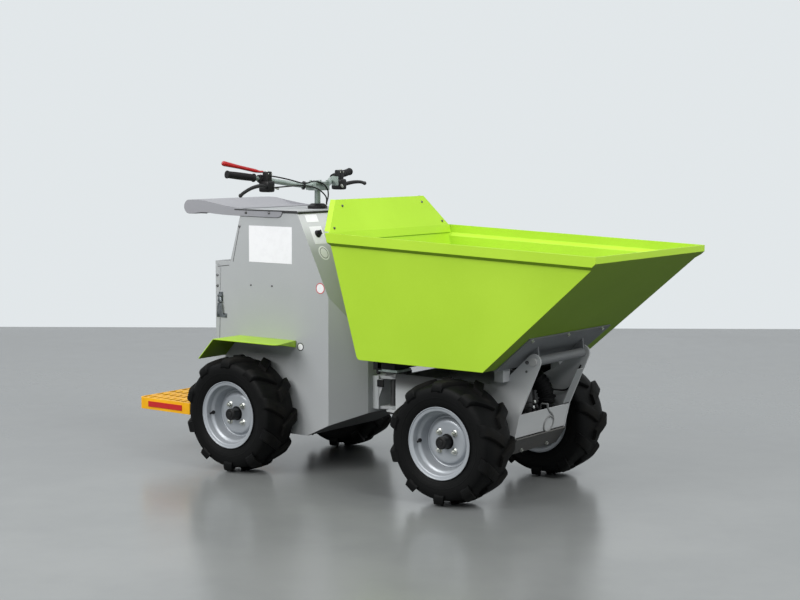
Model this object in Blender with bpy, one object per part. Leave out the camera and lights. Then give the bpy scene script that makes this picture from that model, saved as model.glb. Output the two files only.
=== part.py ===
# Articulated electric site dumper: a walk-behind four-wheel-drive carrier with handlebars.
# A sheet-metal rear body holds the battery and the drive. A frame hinged in front of it carries
# the front axle and a skip that tips forward over its own front edge.
#
# Metres. +X points forward to the skip, +Y to the machine's left, +Z up, and the wheels stand at Z = 0.
# Every piece is laid out from the middle of the wheelbase, and one empty at the end puts the
# origin under the middle of the whole machine.

from math import atan2, cos, degrees, hypot, pi, radians, sin, sqrt, tan

import bmesh
import bpy
from mathutils import Matrix, Vector

for item in list(bpy.data.objects):
    bpy.data.objects.remove(item, do_unlink=True)

# Clearances shared by every piece
seat_gap = 0.0003              # between two pieces that rest on each other
pin_clearance = 0.0005         # round a pin or a shaft in its hole
overrun = 0.02                 # how far a cutting shape runs past what it cuts
weld_distance = 0.000001       # points closer than this are one point

# Stance
wheelbase = 1.08
track = 0.712                  # between the middles of the tyres on one axle
tyre_radius = 0.245            # to the lug tips
front_reach = 1.207            # from mid-wheelbase to the skip's front lip
rear_reach = 1.180             # from mid-wheelbase to the step's rear edge

# Tyre: 10-inch tractor pattern
tyre_half_width = 0.097        # to the lug ends on the shoulder
tyre_wall_half_width = 0.092   # at the bulge of the side wall
tyre_bulge_radius = 0.184
tyre_shoulder_radius = 0.2185
tyre_shoulder_offset = 0.088
tyre_mid_radius = 0.228
tyre_mid_offset = 0.046
tyre_crown_radius = 0.231
tyre_toe_offset = 0.064        # the bead's inner edge
tyre_inner_radius = 0.205      # inside face under the tread
tyre_inner_offset = 0.074
bead_clearance = 0.0012        # between the bead's toe and the rim's seat
lug_mid_radius = 0.2435
lug_shoulder_radius = 0.2350
lug_end_radius = 0.204
lug_draft = 0.0035             # how much each flank of a lug leans in
lug_count = 10                 # on each side of the tread
lug_width_share = 0.32         # of the pitch between two lugs of one side
lug_mid_lag = radians(7.0)     # sweep-back of the lugs behind the crown
lug_shoulder_lag = radians(13.0)
lug_end_lag = radians(15.0)

# Rim: pressed steel, 10-inch bead seat
rim_seat_radius = 0.1270
rim_flange_radius = 0.1420
rim_half_width = 0.0800        # to the inner face of each flange
rim_lip = 0.0070               # how far the flange curls out past that face
rim_sheet = 0.0040
rim_well_radius = 0.1080       # drop centre
rim_well_inner = 0.0330        # well edges, from the middle of the tyre
rim_well_outer = 0.0400
rim_slope = 0.0120             # run of each wall between the seat and the well
rim_disc_face = 0.0300         # outboard face of the disc, from the middle of the tyre
rim_disc_radius = 0.0965
rim_cone_depth = 0.0100        # raised ring between the disc and the well
rim_cone_radius = 0.0800
rim_bore = 0.0300
rim_steps = 24

# Hub
hub_flange_radius = 0.0640
hub_flange_thickness = 0.0120
hub_cap_radius = 0.0250
hub_cap_length = 0.0450        # past the disc's outboard face
hub_cap_bevel = 0.0040
hub_steps = 20

# Axle housings
axle_radius = 0.0350
axle_steps = 18
drive_half_length = 0.0850     # gearbox and motor block along X
drive_half_width = 0.0900
drive_half_height = 0.0700

# Rear body shell
sheet = 0.0030
body_half_width = 0.2400
body_bottom = 0.1570
body_belly_break = -0.2750     # where the belly starts to rise forward
body_belly_rise = 0.4700       # rise over run of the forward belly
body_side_front = -0.1600      # the upright bend at the front of the side panel
body_nose_front = -0.0700      # front face of the narrow nose
body_nose_half_width = 0.0850
body_top = 1.0900
body_lean_top = -0.3252        # front edge of the top
body_lean = 0.4850             # run over rise of the leaning front
body_top_rear = -0.6380
body_ledge = 0.8730            # height of the ledge over the rear door
body_ledge_front = -0.7010
body_ledge_depth = 0.0180      # thickness of the overhang over the door
body_rear = -0.7870            # outer face of the door
door_depth = 0.0220
door_bottom = 0.3150
door_rim = 0.0250              # frame left round the door opening
door_reveal = 0.0020           # shut gap above and beside the door
hinge_radius = 0.0060
hinge_stand_off = 0.0075       # hinge line outside the side panel
hinge_length = 0.0600
hinge_inset = 0.0700           # from the door's ends to each hinge
hinge_leaf = 0.0030
hinge_leaf_width = 0.0160

# Top plate of the rear body
top_plate_thickness = 0.0110
top_plate_overhang = 0.0040

# Sheet shelf behind the handlebars
shelf_half_width = 0.2435
shelf_flange_drop = 0.0340      # flange's lower edge, under the top plate's face
shelf_flange_front = -0.4220
shelf_front = -0.3930
shelf_sheet_front = -0.7500
shelf_crest_front = -0.8300
shelf_crest_rise = 0.0320       # over the top plate's face
shelf_crest_rear = -0.9150
shelf_nose = -0.9570
shelf_nose_drop = 0.0140        # under the crest
shelf_tail = -0.9350

# Rear fenders
fender_sheet = 0.0030
fender_half_width = 0.4100     # outer edge from the machine's middle
fender_height = 0.5560
fender_inner_front = -0.3340
fender_outer_front = -0.3000
fender_rear = -0.6500          # the fold over the flap
fender_flap_drop = 0.0900
fender_flap_run = 0.0850
fender_fillet = 0.0300
fender_front_lip = 0.0300       # a corner folded down beside the body
fender_lip_width = 0.0550

# Battery
battery_front = -0.3200
battery_rear = -0.7200
battery_half_width = 0.1700
battery_bottom = 0.3300
battery_top = 0.5600
battery_tray = 0.0120

# Step
step_top = 0.2480
step_height = 0.0500
step_front = -0.8650
step_half_width = 0.3300
step_corner = 0.0200
step_wall = 0.0060
step_slot_length = 0.0500
step_slot_width = 0.0180
step_row_web = 0.0210            # least plastic between two rows of slots
step_column_web = 0.0315         # least plastic between two slots of a row
step_arm_half_spacing = 0.1500
step_arm_half_width = 0.0200
step_arm_height = 0.0300
reflector_margin = 0.0455        # from each end of the step's straight side
reflector_height = 0.0240
reflector_thickness = 0.0030

# Steering column and handlebars
column_x = -0.4110
column_radius = 0.0130
column_flange_radius = 0.0430
column_flange_height = 0.0220
stem_drop = 0.0190              # the stem block's underside, under the bar's middle
stem_height = 0.0340
stem_half_length = 0.0280
stem_half_width = 0.0450
bar_radius = 0.0110
bar_rise = 0.1110                # middle of the handlebar over the body's top
bar_height = body_top + bar_rise
bar_clamp_x = -0.4050
bar_inner_half = 0.0740
bar_inner_x = -0.4170
bar_mid_half = 0.1860
bar_mid_x = -0.4890
bar_mid_rise = 0.0190           # over the bar's middle
grip_inner_half = 0.2830
grip_inner_x = -0.5250
grip_inner_rise = 0.0350
grip_end_half = 0.4150
grip_end_x = -0.5600
grip_end_rise = 0.0510
grip_radius = 0.0150
grip_overlap = 0.0080          # the bar's last straight, up to the grip
bar_sides = 12
control_length = 0.0420
control_radius = 0.0180
control_clearance = 0.0008     # between the bar and the clamp's bore
perch_half = 0.0250            # block in front of the clamp that the brake lever turns in
perch_half_height = 0.0220
perch_forward = 0.0220
perch_drop = 0.0200
perch_cap_half = 0.0160        # box on top of the clamp
perch_cap_height = 0.0260      # over the bar's middle
lever_half_width = 0.0080
lever_half_thickness = 0.0070
lever_reach = 0.1380           # outboard of the grip's inner end
lever_forward = 0.0620
lever_drop = 0.0700
red_lever_length = 0.1680
red_lever_rise = 0.0180
red_lever_sweep = 0.0240       # back from the grip's direction
red_lever_half_width = 0.0090
red_lever_half_thickness = 0.0110
drive_lever_gap = 0.0009       # over the box that carries it
cable_radius = 0.0030
cable_sides = 8
lever_steps = 3
lever_sides = 8

# (outboard, forward, down) of the brake lever's line, from the perch to the tip
lever_line_shares = (
    (-0.32, 0.68, 0.62),
    (-0.05, 0.90, 0.50),
    (0.28, 1.00, 0.46),
    (0.62, 0.98, 0.58),
    (0.88, 0.85, 0.82),
    (1.00, 0.76, 1.00),
)
lever_section_shares = (1.0, 0.9, 0.8, 0.75, 0.85, 0.65)
# (place along the lever, its width, its thickness), to the rounded tip
red_lever_shares = (
    (0.00, 0.80, 0.45),
    (0.10, 0.90, 0.70),
    (0.55, 0.80, 0.72),
    (0.84, 0.90, 0.92),
    (0.94, 1.00, 1.00),
    (0.985, 0.80, 0.80),
    (1.00, 0.45, 0.45),
)
# (x, y, z) of each cable's run, from the perch over the stem to the top plate
cable_runs = (
    ("upper", ((-0.4797, -0.2370, 1.2430), (-0.4640, -0.2370, 1.2430), (-0.4430, -0.2150, 1.2380),
               (-0.4150, -0.1750, 1.2270), (-0.3800, -0.1253, 1.2120), (-0.3740, -0.0708, 1.2210),
               (-0.3740, -0.0123, 1.2110), (-0.3770, 0.0263, 1.1858), (-0.3800, 0.0350, 1.1540),
               (-0.3840, 0.0300, 1.1280), (-0.3840, 0.0300, 1.1175))),
    ("lower", ((-0.4627, -0.2320, 1.1960), (-0.4500, -0.2320, 1.1960), (-0.4350, -0.2130, 1.1980),
               (-0.4050, -0.1700, 1.2020), (-0.3720, -0.1253, 1.2030), (-0.3680, -0.0509, 1.1876),
               (-0.3690, -0.0038, 1.1620), (-0.3730, 0.0150, 1.1440), (-0.3760, 0.0180, 1.1280),
               (-0.3760, 0.0180, 1.1175))),
)

# Articulation between the two halves
hitch_plate = 0.0120
hitch_upper = 0.3980           # underside of the rear bracket's upper plate
hitch_lower = 0.2700           # underside of its lower plate
hitch_half_width = 0.0550
hitch_eye_radius = 0.0320
hitch_web = 0.0320              # block between the plates, behind the pin
hitch_pin_radius = 0.0125
hitch_pin_head_radius = 0.0220
hitch_pin_head = 0.0100
hitch_cap_radius = 0.0480       # the pin's upper plate

# Front frame
plate = 0.0080
frame_half_width = 0.1900      # outer faces of the side plates
frame_rear = 0.1500
frame_rear_top = 0.4520
frame_rear_bottom = 0.2900
frame_keel_rear = 0.3000
frame_keel = 0.1810
frame_toe = 0.6820
frame_front_bottom_x = 0.7230
frame_front_bottom = 0.2450
frame_front_mid_x = 0.7450
frame_front_mid = 0.3400
frame_brow_x = 0.8240
frame_brow = 0.5200
frame_neck_x = 0.7000
frame_neck = 0.4950
frame_saddle_x = 0.6200
eye_radius = 0.0300
rest_stub_length = 0.0450
rest_stub_half_x = 0.0200
rest_stub_x = 0.6760
rest_stub_height = 0.0500
rest_pad_thickness = 0.0060
rest_bar_x = 0.1600
rest_bar_half_x = 0.0400
rest_bar_half_width = 0.2600
skid_plate = 0.0060
skid_half_width = 0.1850

# Skip
skip_sheet = 0.0040
skip_floor = 0.5270            # underside
skip_floor_rear = 0.1100
skip_floor_front = 0.7060
skip_floor_half_width = 0.3940
skip_rear_rim = -0.0200        # rear edge of the rim
skip_rim_rear_height = 1.0290
skip_rim_front_height = 0.9870
skip_side_half_width = 0.4140  # top of the side panels, under the ledge
skip_rim_half_width = 0.4360
skip_lip = 0.0380              # upright lip round the sides
skip_ledge_rise = 0.0130       # the ledge under the lip rises this much outward
skip_front_lip = 0.0250
skip_bend_radius = 0.0180      # outside, where the floor turns up into the rear wall
skip_bend_steps = 3
guard_half_width = 0.3070      # top edge of the splash guard
guard_top = 1.1560
guard_set_back = 0.0570        # the top edge leans this far behind the rim's rear edge
guard_flange = 0.0220          # folded back along both slanting edges
guard_foot_half_width = 0.4180
guard_sheet = 0.0040

# Hinge plate and tipping pivot
pivot_x = 0.8060
pivot_z = 0.5540
pivot_sleeve_radius = 0.0180
pivot_sleeve_half_length = 0.1780
pivot_pin_radius = 0.0100
pivot_head_radius = 0.0160
pivot_head = 0.0100
hinge_plate_thickness = 0.0060
hinge_plate_half_width = 0.3080
hinge_plate_reach = 0.2010     # up the front wall from its foot
hinge_foot_rear = 0.5900
hinge_foot_half_width = 0.1000
gusset_half_length = 0.0450
gusset_thickness = 0.0080

# Tipping actuator
actuator_base_x = 0.6720
actuator_base_z = 0.2250
actuator_eye_x = 0.6450
actuator_eye_z = 0.4950
actuator_shaft_radius = 0.0100
actuator_base_eye_radius = 0.0200
actuator_base_eye_half = 0.0180
barrel_radius = 0.0260
barrel_start = 0.0180          # from the base pin
barrel_end_short = 0.0250      # the gland stops this far before the rod's eye at rest
rod_radius = 0.0120
barrel_bore = rod_radius + pin_clearance
rod_overlap = 0.0140           # rod left in the barrel at full stroke
rod_eye_radius = 0.0150
rod_eye_half = 0.0100
eye_lug_half_gap = 0.0190
eye_lug_thickness = 0.0060
eye_lug_half_length = 0.0220
motor_radius = 0.0360
motor_length = 0.1300
motor_offset = 0.0660
motor_start = 0.0500
motor_link_half = 0.0150
tip_range = radians(75.0)

front_axle_x = wheelbase / 2
rear_axle_x = -wheelbase / 2
axle_z = tyre_radius
wheel_half_track = track / 2
full_turn = 2 * pi


# Working shapes

def polished(shape):
    """Weld stray doubles and turn every face outward."""
    bmesh.ops.remove_doubles(shape, verts=shape.verts, dist=weld_distance)
    bmesh.ops.dissolve_degenerate(shape, edges=shape.edges, dist=weld_distance)
    bmesh.ops.recalc_face_normals(shape, faces=shape.faces)
    return shape


def worked(shape, prepare):
    """The shape after the modifiers that prepare adds to it."""
    mesh = bpy.data.meshes.new("working")
    shape.to_mesh(mesh)
    shape.free()
    host = bpy.data.objects.new("working", mesh)
    bpy.context.scene.collection.objects.link(host)
    prepare(host)
    result = bmesh.new()
    result.from_object(host, bpy.context.evaluated_depsgraph_get())
    bpy.data.objects.remove(host, do_unlink=True)
    bpy.data.meshes.remove(mesh)
    return result


def combined(base, tool, operation):
    """Exact Boolean of two closed shapes."""
    mesh = bpy.data.meshes.new("tool")
    tool.to_mesh(mesh)
    tool.free()
    helper = bpy.data.objects.new("tool", mesh)
    bpy.context.scene.collection.objects.link(helper)

    def prepare(host):
        step = host.modifiers.new("combine", 'BOOLEAN')
        step.operation = operation
        step.object = helper

    result = worked(base, prepare)
    bpy.data.objects.remove(helper, do_unlink=True)
    bpy.data.meshes.remove(mesh)
    return polished(result)


def union(shapes):
    whole = shapes[0]
    for extra in shapes[1:]:
        whole = combined(whole, extra, 'UNION')
    return whole


def cut(base, tool):
    return combined(base, tool, 'DIFFERENCE')


def prism(outline, axis, low, high):
    """A flat outline extruded along one axis.

    The outline is given as (x, z) along Y, (x, y) along Z and (y, z) along X.
    """
    shape = bmesh.new()
    order = {'x': lambda a, b: (low, a, b), 'y': lambda a, b: (a, low, b), 'z': lambda a, b: (a, b, low)}[axis]
    travel = {'x': (high - low, 0, 0), 'y': (0, high - low, 0), 'z': (0, 0, high - low)}[axis]
    base = shape.faces.new([shape.verts.new(order(a, b)) for a, b in outline])
    grown = bmesh.ops.extrude_face_region(shape, geom=[base], use_keep_orig=True)
    moved = [part for part in grown["geom"] if isinstance(part, bmesh.types.BMVert)]
    bmesh.ops.translate(shape, verts=moved, vec=travel)
    return polished(shape)


def block(x0, x1, y0, y1, z0, z1):
    return prism([(x0, z0), (x1, z0), (x1, z1), (x0, z1)], 'y', y0, y1)


def lathe(profile, steps, axis, centre, closed):
    """A profile of (distance along the axis, radius) turned round that axis.

    An open profile begins and ends on the axis, and a closed one makes a ring.
    """
    along = {'x': Vector((1, 0, 0)), 'y': Vector((0, 1, 0)), 'z': Vector((0, 0, 1))}[axis]
    out = {'x': Vector((0, 0, 1)), 'y': Vector((0, 0, 1)), 'z': Vector((1, 0, 0))}[axis]
    middle = Vector(centre)
    shape = bmesh.new()
    points = [shape.verts.new(middle + along * distance + out * radius) for distance, radius in profile]
    edges = [shape.edges.new(pair) for pair in zip(points, points[1:])]
    if closed:
        edges.append(shape.edges.new((points[-1], points[0])))
    bmesh.ops.spin(shape, geom=points + edges, cent=middle, axis=along, angle=full_turn,
                   steps=steps, use_merge=True)
    return polished(shape)


def rod_between(start, end, radius, steps):
    """A plain round bar from one point to another."""
    a = Vector(start)
    b = Vector(end)
    shape = lathe([(0, 0), (0, radius), ((b - a).length, radius), ((b - a).length, 0)], steps, 'z', (0, 0, 0), False)
    turn = (b - a).to_track_quat('Z', 'Y').to_matrix().to_4x4()
    bmesh.ops.transform(shape, matrix=Matrix.Translation(a) @ turn, verts=shape.verts)
    return shape


def thick_line(points, thickness):
    """A closed outline: the line of points, with its left side moved out by the thickness."""
    def normal(a, b):
        run = hypot(b[0] - a[0], b[1] - a[1])
        return (-(b[1] - a[1]) / run, (b[0] - a[0]) / run)

    normals = [normal(a, b) for a, b in zip(points, points[1:])]
    shifted = []
    for index, (x, z) in enumerate(points):
        before = normals[max(index - 1, 0)]
        after = normals[min(index, len(normals) - 1)]
        spread = 1 + before[0] * after[0] + before[1] * after[1]
        shifted.append((x + thickness * (before[0] + after[0]) / spread,
                        z + thickness * (before[1] + after[1]) / spread))
    return list(points) + shifted[::-1]


def arc(centre, radius, start, end, steps):
    """Points on an arc, angles in degrees."""
    turns = [radians(start + (end - start) * step / steps) for step in range(steps + 1)]
    return [(centre[0] + radius * cos(turn), centre[1] + radius * sin(turn)) for turn in turns]


def swept(points, radius, sides):
    """A round tube along a line of points, rounded at its bends by the caller."""
    curve = bpy.data.curves.new("run", 'CURVE')
    curve.dimensions = '3D'
    curve.bevel_depth = radius
    curve.bevel_resolution = max((sides - 4) // 2, 0)
    curve.use_fill_caps = True
    spline = curve.splines.new('POLY')
    spline.points.add(len(points) - 1)
    for knot, point in zip(spline.points, points):
        knot.co = (*point, 1)
    host = bpy.data.objects.new("run", curve)
    bpy.context.scene.collection.objects.link(host)
    mesh = bpy.data.meshes.new_from_object(host.evaluated_get(bpy.context.evaluated_depsgraph_get()))
    shape = bmesh.new()
    shape.from_mesh(mesh)
    bpy.data.meshes.remove(mesh)
    bpy.data.objects.remove(host, do_unlink=True)
    bpy.data.curves.remove(curve)
    return polished(shape)


def eased(points, steps):
    """A smooth line through the given points."""
    knots = [Vector(point) for point in points]
    knots = [knots[0] * 2 - knots[1]] + knots + [knots[-1] * 2 - knots[-2]]
    line = []
    for index in range(1, len(knots) - 2):
        a, b, c, d = knots[index - 1:index + 3]
        for step in range(steps):
            t = step / steps
            line.append(0.5 * (2 * b + (c - a) * t + (2 * a - 5 * b + 4 * c - d) * t ** 2
                               + (3 * b - a - 3 * c + d) * t ** 3))
    line.append(knots[-2])
    return line


def tapered(line, half_widths, half_heights, sides):
    """An oval bar along a line, with half its width and half its height at each point."""
    shape = bmesh.new()
    rings = []
    for index, point in enumerate(line):
        ahead = (line[min(index + 1, len(line) - 1)] - line[max(index - 1, 0)]).normalized()
        across = ahead.cross(Vector((0, 0, 1))).normalized()
        above = across.cross(ahead)
        turns = [full_turn * step / sides for step in range(sides)]
        rings.append([shape.verts.new(point + across * half_widths[index] * cos(turn)
                                      + above * half_heights[index] * sin(turn)) for turn in turns])
    for a, b in zip(rings, rings[1:]):
        for index in range(sides):
            shape.faces.new((a[index], a[(index + 1) % sides], b[(index + 1) % sides], b[index]))
    shape.faces.new(rings[0][::-1])
    shape.faces.new(rings[-1])
    return polished(shape)


def mirrored(shape):
    """The same shape on the machine's other side."""
    bmesh.ops.transform(shape, matrix=Matrix.Scale(-1, 4, (0, 1, 0)), verts=shape.verts)
    bmesh.ops.recalc_face_normals(shape, faces=shape.faces)
    return shape


# Finishes: base colour, roughness, metallic
finishes = {
    "lime paint": ((0.370, 0.600, 0.042), 0.38, 0.0),
    "grey paint": ((0.360, 0.385, 0.400), 0.42, 0.0),
    "silver paint": ((0.420, 0.450, 0.480), 0.30, 0.4),
    "tyre rubber": ((0.012, 0.012, 0.013), 0.80, 0.0),
    "black plastic": ((0.015, 0.015, 0.016), 0.50, 0.0),
    "black steel": ((0.028, 0.028, 0.030), 0.45, 0.0),
    "bright steel": ((0.560, 0.560, 0.540), 0.28, 1.0),
    "cast grey": ((0.180, 0.185, 0.190), 0.60, 0.2),
    "yellow plastic": ((0.900, 0.400, 0.006), 0.45, 0.0),
    "red plastic": ((0.500, 0.006, 0.010), 0.35, 0.0),
}

origins = {}


def material(name):
    colour, roughness, metallic = finishes[name]
    made = bpy.data.materials.new(name)
    made.use_nodes = True
    shader = made.node_tree.nodes["Principled BSDF"]
    shader.inputs["Base Color"].default_value = (*colour, 1)
    shader.inputs["Roughness"].default_value = roughness
    shader.inputs["Metallic"].default_value = metallic
    return made


def add_piece(name, shape, finish, parent="machine", origin=None):
    """Put a shape in the scene with its origin at the point that it turns on."""
    home = Vector(origin) if origin else Vector((0, 0, 0))
    bmesh.ops.translate(shape, verts=shape.verts, vec=-home)
    bmesh.ops.triangulate(shape, faces=[face for face in shape.faces if len(face.verts) > 4])
    mesh = bpy.data.meshes.new(name)
    shape.to_mesh(mesh)
    shape.free()
    mesh.shade_smooth()
    mesh.set_sharp_from_angle(angle=radians(30.0))
    mesh.materials.append(material(finish))
    piece = bpy.data.objects.new(name, mesh)
    bpy.context.scene.collection.objects.link(piece)
    piece.parent = bpy.data.objects[parent]
    piece.location = home - origins[parent]
    origins[name] = home
    return piece


# Wheels

def tyre_shape():
    """A ring with swept lugs, alternate on the two sides of the crown.

    The grid's columns lean back with the lugs, so each lug is one strip of its cells, raised.
    """
    # (offset from the middle, radius, lag, raised offset, raised radius), from the crown outward
    raised_crown = (0, tyre_radius)
    half_rows = (
        (tyre_mid_offset, tyre_mid_radius, lug_mid_lag, tyre_mid_offset, lug_mid_radius),
        (tyre_shoulder_offset, tyre_shoulder_radius, lug_shoulder_lag, tyre_half_width, lug_shoulder_radius),
        (tyre_wall_half_width, tyre_bulge_radius, lug_end_lag, tyre_half_width, lug_end_radius),
        (rim_half_width - seat_gap, rim_flange_radius, lug_end_lag, None, None),
        (tyre_toe_offset, rim_seat_radius + bead_clearance, lug_end_lag, None, None),
        (tyre_inner_offset, tyre_inner_radius, lug_end_lag, None, None),
    )
    left = [(offset, radius, lag, up_offset, up_radius) for offset, radius, lag, up_offset, up_radius in half_rows]
    right = [(-offset, radius, lag, -up_offset if up_offset else None, up_radius)
             for offset, radius, lag, up_offset, up_radius in half_rows]
    rows = right[::-1] + [(0, tyre_crown_radius, 0, *raised_crown)] + left
    crown_row = len(right)
    pitch = full_turn / lug_count
    column_shares = (0, lug_width_share, 0.5, 0.5 + lug_width_share)
    columns = [(turn + share) * pitch for turn in range(lug_count) for share in column_shares]

    shape = bmesh.new()

    def point(offset, radius, angle):
        # the crown leads downward at the front of the tyre
        return shape.verts.new((radius * sin(angle), offset, -radius * cos(angle)))

    grid = [[point(offset, radius, column + lag) for column in columns]
            for offset, radius, lag, _, _ in rows]
    count = len(columns)
    for row in range(len(rows)):
        following = (row + 1) % len(rows)
        for column in range(count):
            beside = (column + 1) % count
            half = column % len(column_shares)
            raised_left = half == 0 and crown_row <= row < crown_row + 3
            raised_right = half == 2 and crown_row - 3 <= row < crown_row
            if raised_left or raised_right:
                continue
            shape.faces.new((grid[row][column], grid[row][beside], grid[following][beside], grid[following][column]))
    for turn in range(lug_count):
        for start, first_row in ((0, crown_row), (2, crown_row - 3)):
            column = turn * len(column_shares) + start
            beside = (column + 1) % count
            tops = []
            for row in range(first_row, first_row + 4):
                _, _, lag, offset, radius = rows[row]
                lean = lug_draft / radius
                # the very edge at the crown stays upright, so that the wheel stands on it
                inner = columns[column] + lag + (0 if row == crown_row else lean)
                outer = columns[column] + lug_width_share * pitch + lag - lean
                tops.append((point(offset, radius, inner), point(offset, radius, outer)))
            base = [(grid[row][column], grid[row][beside]) for row in range(first_row, first_row + 4)]
            for step in range(3):
                shape.faces.new((tops[step][0], tops[step][1], tops[step + 1][1], tops[step + 1][0]))
                for side in (0, 1):
                    shape.faces.new((base[step][side], base[step + 1][side], tops[step + 1][side], tops[step][side]))
            for end in (0, 3):
                shape.faces.new((base[end][0], base[end][1], tops[end][1], tops[end][0]))
    bmesh.ops.recalc_face_normals(shape, faces=shape.faces)
    return shape


def rim_profile():
    """Section of the pressed rim, as (distance outboard, radius)."""
    seat = rim_seat_radius
    inside = rim_seat_radius - rim_sheet
    well = rim_well_radius
    well_inside = rim_well_radius - rim_sheet
    disc_back = rim_disc_face - rim_sheet
    cone_face = rim_disc_face + rim_cone_depth
    return [
        (-rim_half_width - rim_lip, rim_flange_radius),
        (-rim_half_width, rim_flange_radius - rim_sheet / 2),
        (-rim_half_width, seat),
        (-rim_well_inner - rim_slope, seat),
        (-rim_well_inner, well),
        (rim_well_outer, well),
        (rim_well_outer + rim_slope, seat),
        (rim_half_width, seat),
        (rim_half_width, rim_flange_radius - rim_sheet / 2),
        (rim_half_width + rim_lip, rim_flange_radius),
        (rim_half_width + rim_lip, rim_flange_radius - rim_sheet),
        (rim_half_width + rim_sheet, inside),
        (rim_well_outer + rim_slope + rim_sheet, inside),
        (rim_well_outer + rim_sheet, well_inside),
        (cone_face, rim_disc_radius),
        (cone_face, rim_disc_radius - rim_sheet),
        (rim_disc_face, rim_cone_radius - rim_sheet),
        (rim_disc_face, rim_bore),
        (disc_back, rim_bore),
        (disc_back, rim_cone_radius),
        (cone_face - rim_sheet, rim_disc_radius),
        (cone_face - rim_sheet, well_inside),
        (-rim_well_inner - rim_sheet, well_inside),
        (-rim_well_inner - rim_slope - rim_sheet, inside),
        (-rim_half_width - rim_sheet, inside),
        (-rim_half_width - rim_lip, rim_flange_radius - rim_sheet),
    ]


def hub_profile():
    back = rim_disc_face - rim_sheet - seat_gap
    return [
        (back - hub_flange_thickness, 0),
        (back - hub_flange_thickness, hub_flange_radius),
        (back, hub_flange_radius),
        (back, hub_cap_radius),
        (rim_disc_face + hub_cap_length - hub_cap_bevel, hub_cap_radius),
        (rim_disc_face + hub_cap_length, hub_cap_radius - hub_cap_bevel),
        (rim_disc_face + hub_cap_length, 0),
    ]


def wheel(label, x, side, carrier):
    """One wheel: the rim turns on the axle, and the tyre and the hub turn with it."""
    centre = (x, side * wheel_half_track, axle_z)
    rim = lathe(rim_profile(), rim_steps, 'y', (0, 0, 0), True)
    hub = lathe(hub_profile(), hub_steps, 'y', (0, 0, 0), False)
    tyre = tyre_shape()
    for shape in (rim, hub):
        if side < 0:
            mirrored(shape)
    for shape in (rim, hub, tyre):
        bmesh.ops.translate(shape, verts=shape.verts, vec=centre)
    add_piece("rim_" + label, rim, "silver paint", carrier, centre)
    add_piece("tyre_" + label, tyre, "tyre rubber", "rim_" + label, centre)
    add_piece("hub_" + label, hub, "black plastic", "rim_" + label, centre)


def axle(name, x, carrier):
    reach = wheel_half_track + rim_disc_face - rim_sheet - hub_flange_thickness - 2 * seat_gap
    tube = rod_between((x, -reach, axle_z), (x, reach, axle_z), axle_radius, axle_steps)
    drive = block(x - drive_half_length, x + drive_half_length, -drive_half_width, drive_half_width,
                  axle_z - drive_half_height + axle_radius / 2, axle_z + drive_half_height)
    add_piece(name, union([tube, drive]), "cast grey", carrier)


# Rear half

def lean_z(x):
    return body_top - (x - body_lean_top) / body_lean


def belly_z(x):
    return body_bottom + body_belly_rise * (x - body_belly_break)


door_top = body_ledge - body_ledge_depth - door_reveal
door_front = body_rear + door_depth


def body_shape():
    """The folded shell: side panels, leaning front, narrow nose, ledge, top and belly.

    Its rear face is left open inside a frame, where the door closes it.
    """
    w = body_half_width
    n = body_nose_half_width
    ledge_under = body_ledge - body_ledge_depth
    # side outline from the door's foot down, forward and round, as (x, z)
    side = [
        (door_front, door_bottom),
        (door_front, body_bottom),
        (body_belly_break, body_bottom),
        (body_side_front, belly_z(body_side_front)),
        (body_side_front, lean_z(body_side_front)),
        (body_lean_top, body_top),
        (body_top_rear, body_top),
        (body_ledge_front, body_ledge),
        (body_rear, body_ledge),
        (body_rear, ledge_under),
        (door_front, ledge_under),
    ]
    shape = bmesh.new()
    rows = {y: [shape.verts.new((x, y, z)) for x, z in side] for y in (-w, w)}
    right = rows[-w]
    left = rows[w]
    nose_foot = {y: shape.verts.new((body_nose_front, y, belly_z(body_nose_front))) for y in (-n, n)}
    nose_head = {y: shape.verts.new((body_nose_front, y, lean_z(body_nose_front))) for y in (-n, n)}
    shape.faces.new(right)
    shape.faces.new(left[::-1])
    # strips across the body, skipping the front ones and the door opening
    for index in (0, 1, 5, 6, 7, 8, 9):
        shape.faces.new((right[index], left[index], left[index + 1], right[index + 1]))
    shape.faces.new((right[2], left[2], left[3], nose_foot[n], nose_foot[-n], right[3]))
    shape.faces.new((right[4], nose_head[-n], nose_head[n], left[4], left[5], right[5]))
    shape.faces.new((right[3], nose_foot[-n], nose_head[-n], right[4]))
    shape.faces.new((left[3], left[4], nose_head[n], nose_foot[n]))
    shape.faces.new((nose_foot[-n], nose_foot[n], nose_head[n], nose_head[-n]))
    rear = shape.faces.new((right[10], left[10], left[0], right[0]))
    bmesh.ops.recalc_face_normals(shape, faces=shape.faces)
    bmesh.ops.inset_individual(shape, faces=[rear], thickness=door_rim, use_even_offset=True)
    bmesh.ops.delete(shape, geom=[rear], context='FACES')

    def prepare(host):
        skin = host.modifiers.new("sheet", 'SOLIDIFY')
        skin.thickness = sheet
        skin.offset = -1
        skin.use_even_offset = True

    shell = polished(worked(shape, prepare))
    hole = rod_between((rear_axle_x, -w - overrun, axle_z), (rear_axle_x, w + overrun, axle_z),
                       axle_radius + pin_clearance, axle_steps)
    return cut(shell, hole)


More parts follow.
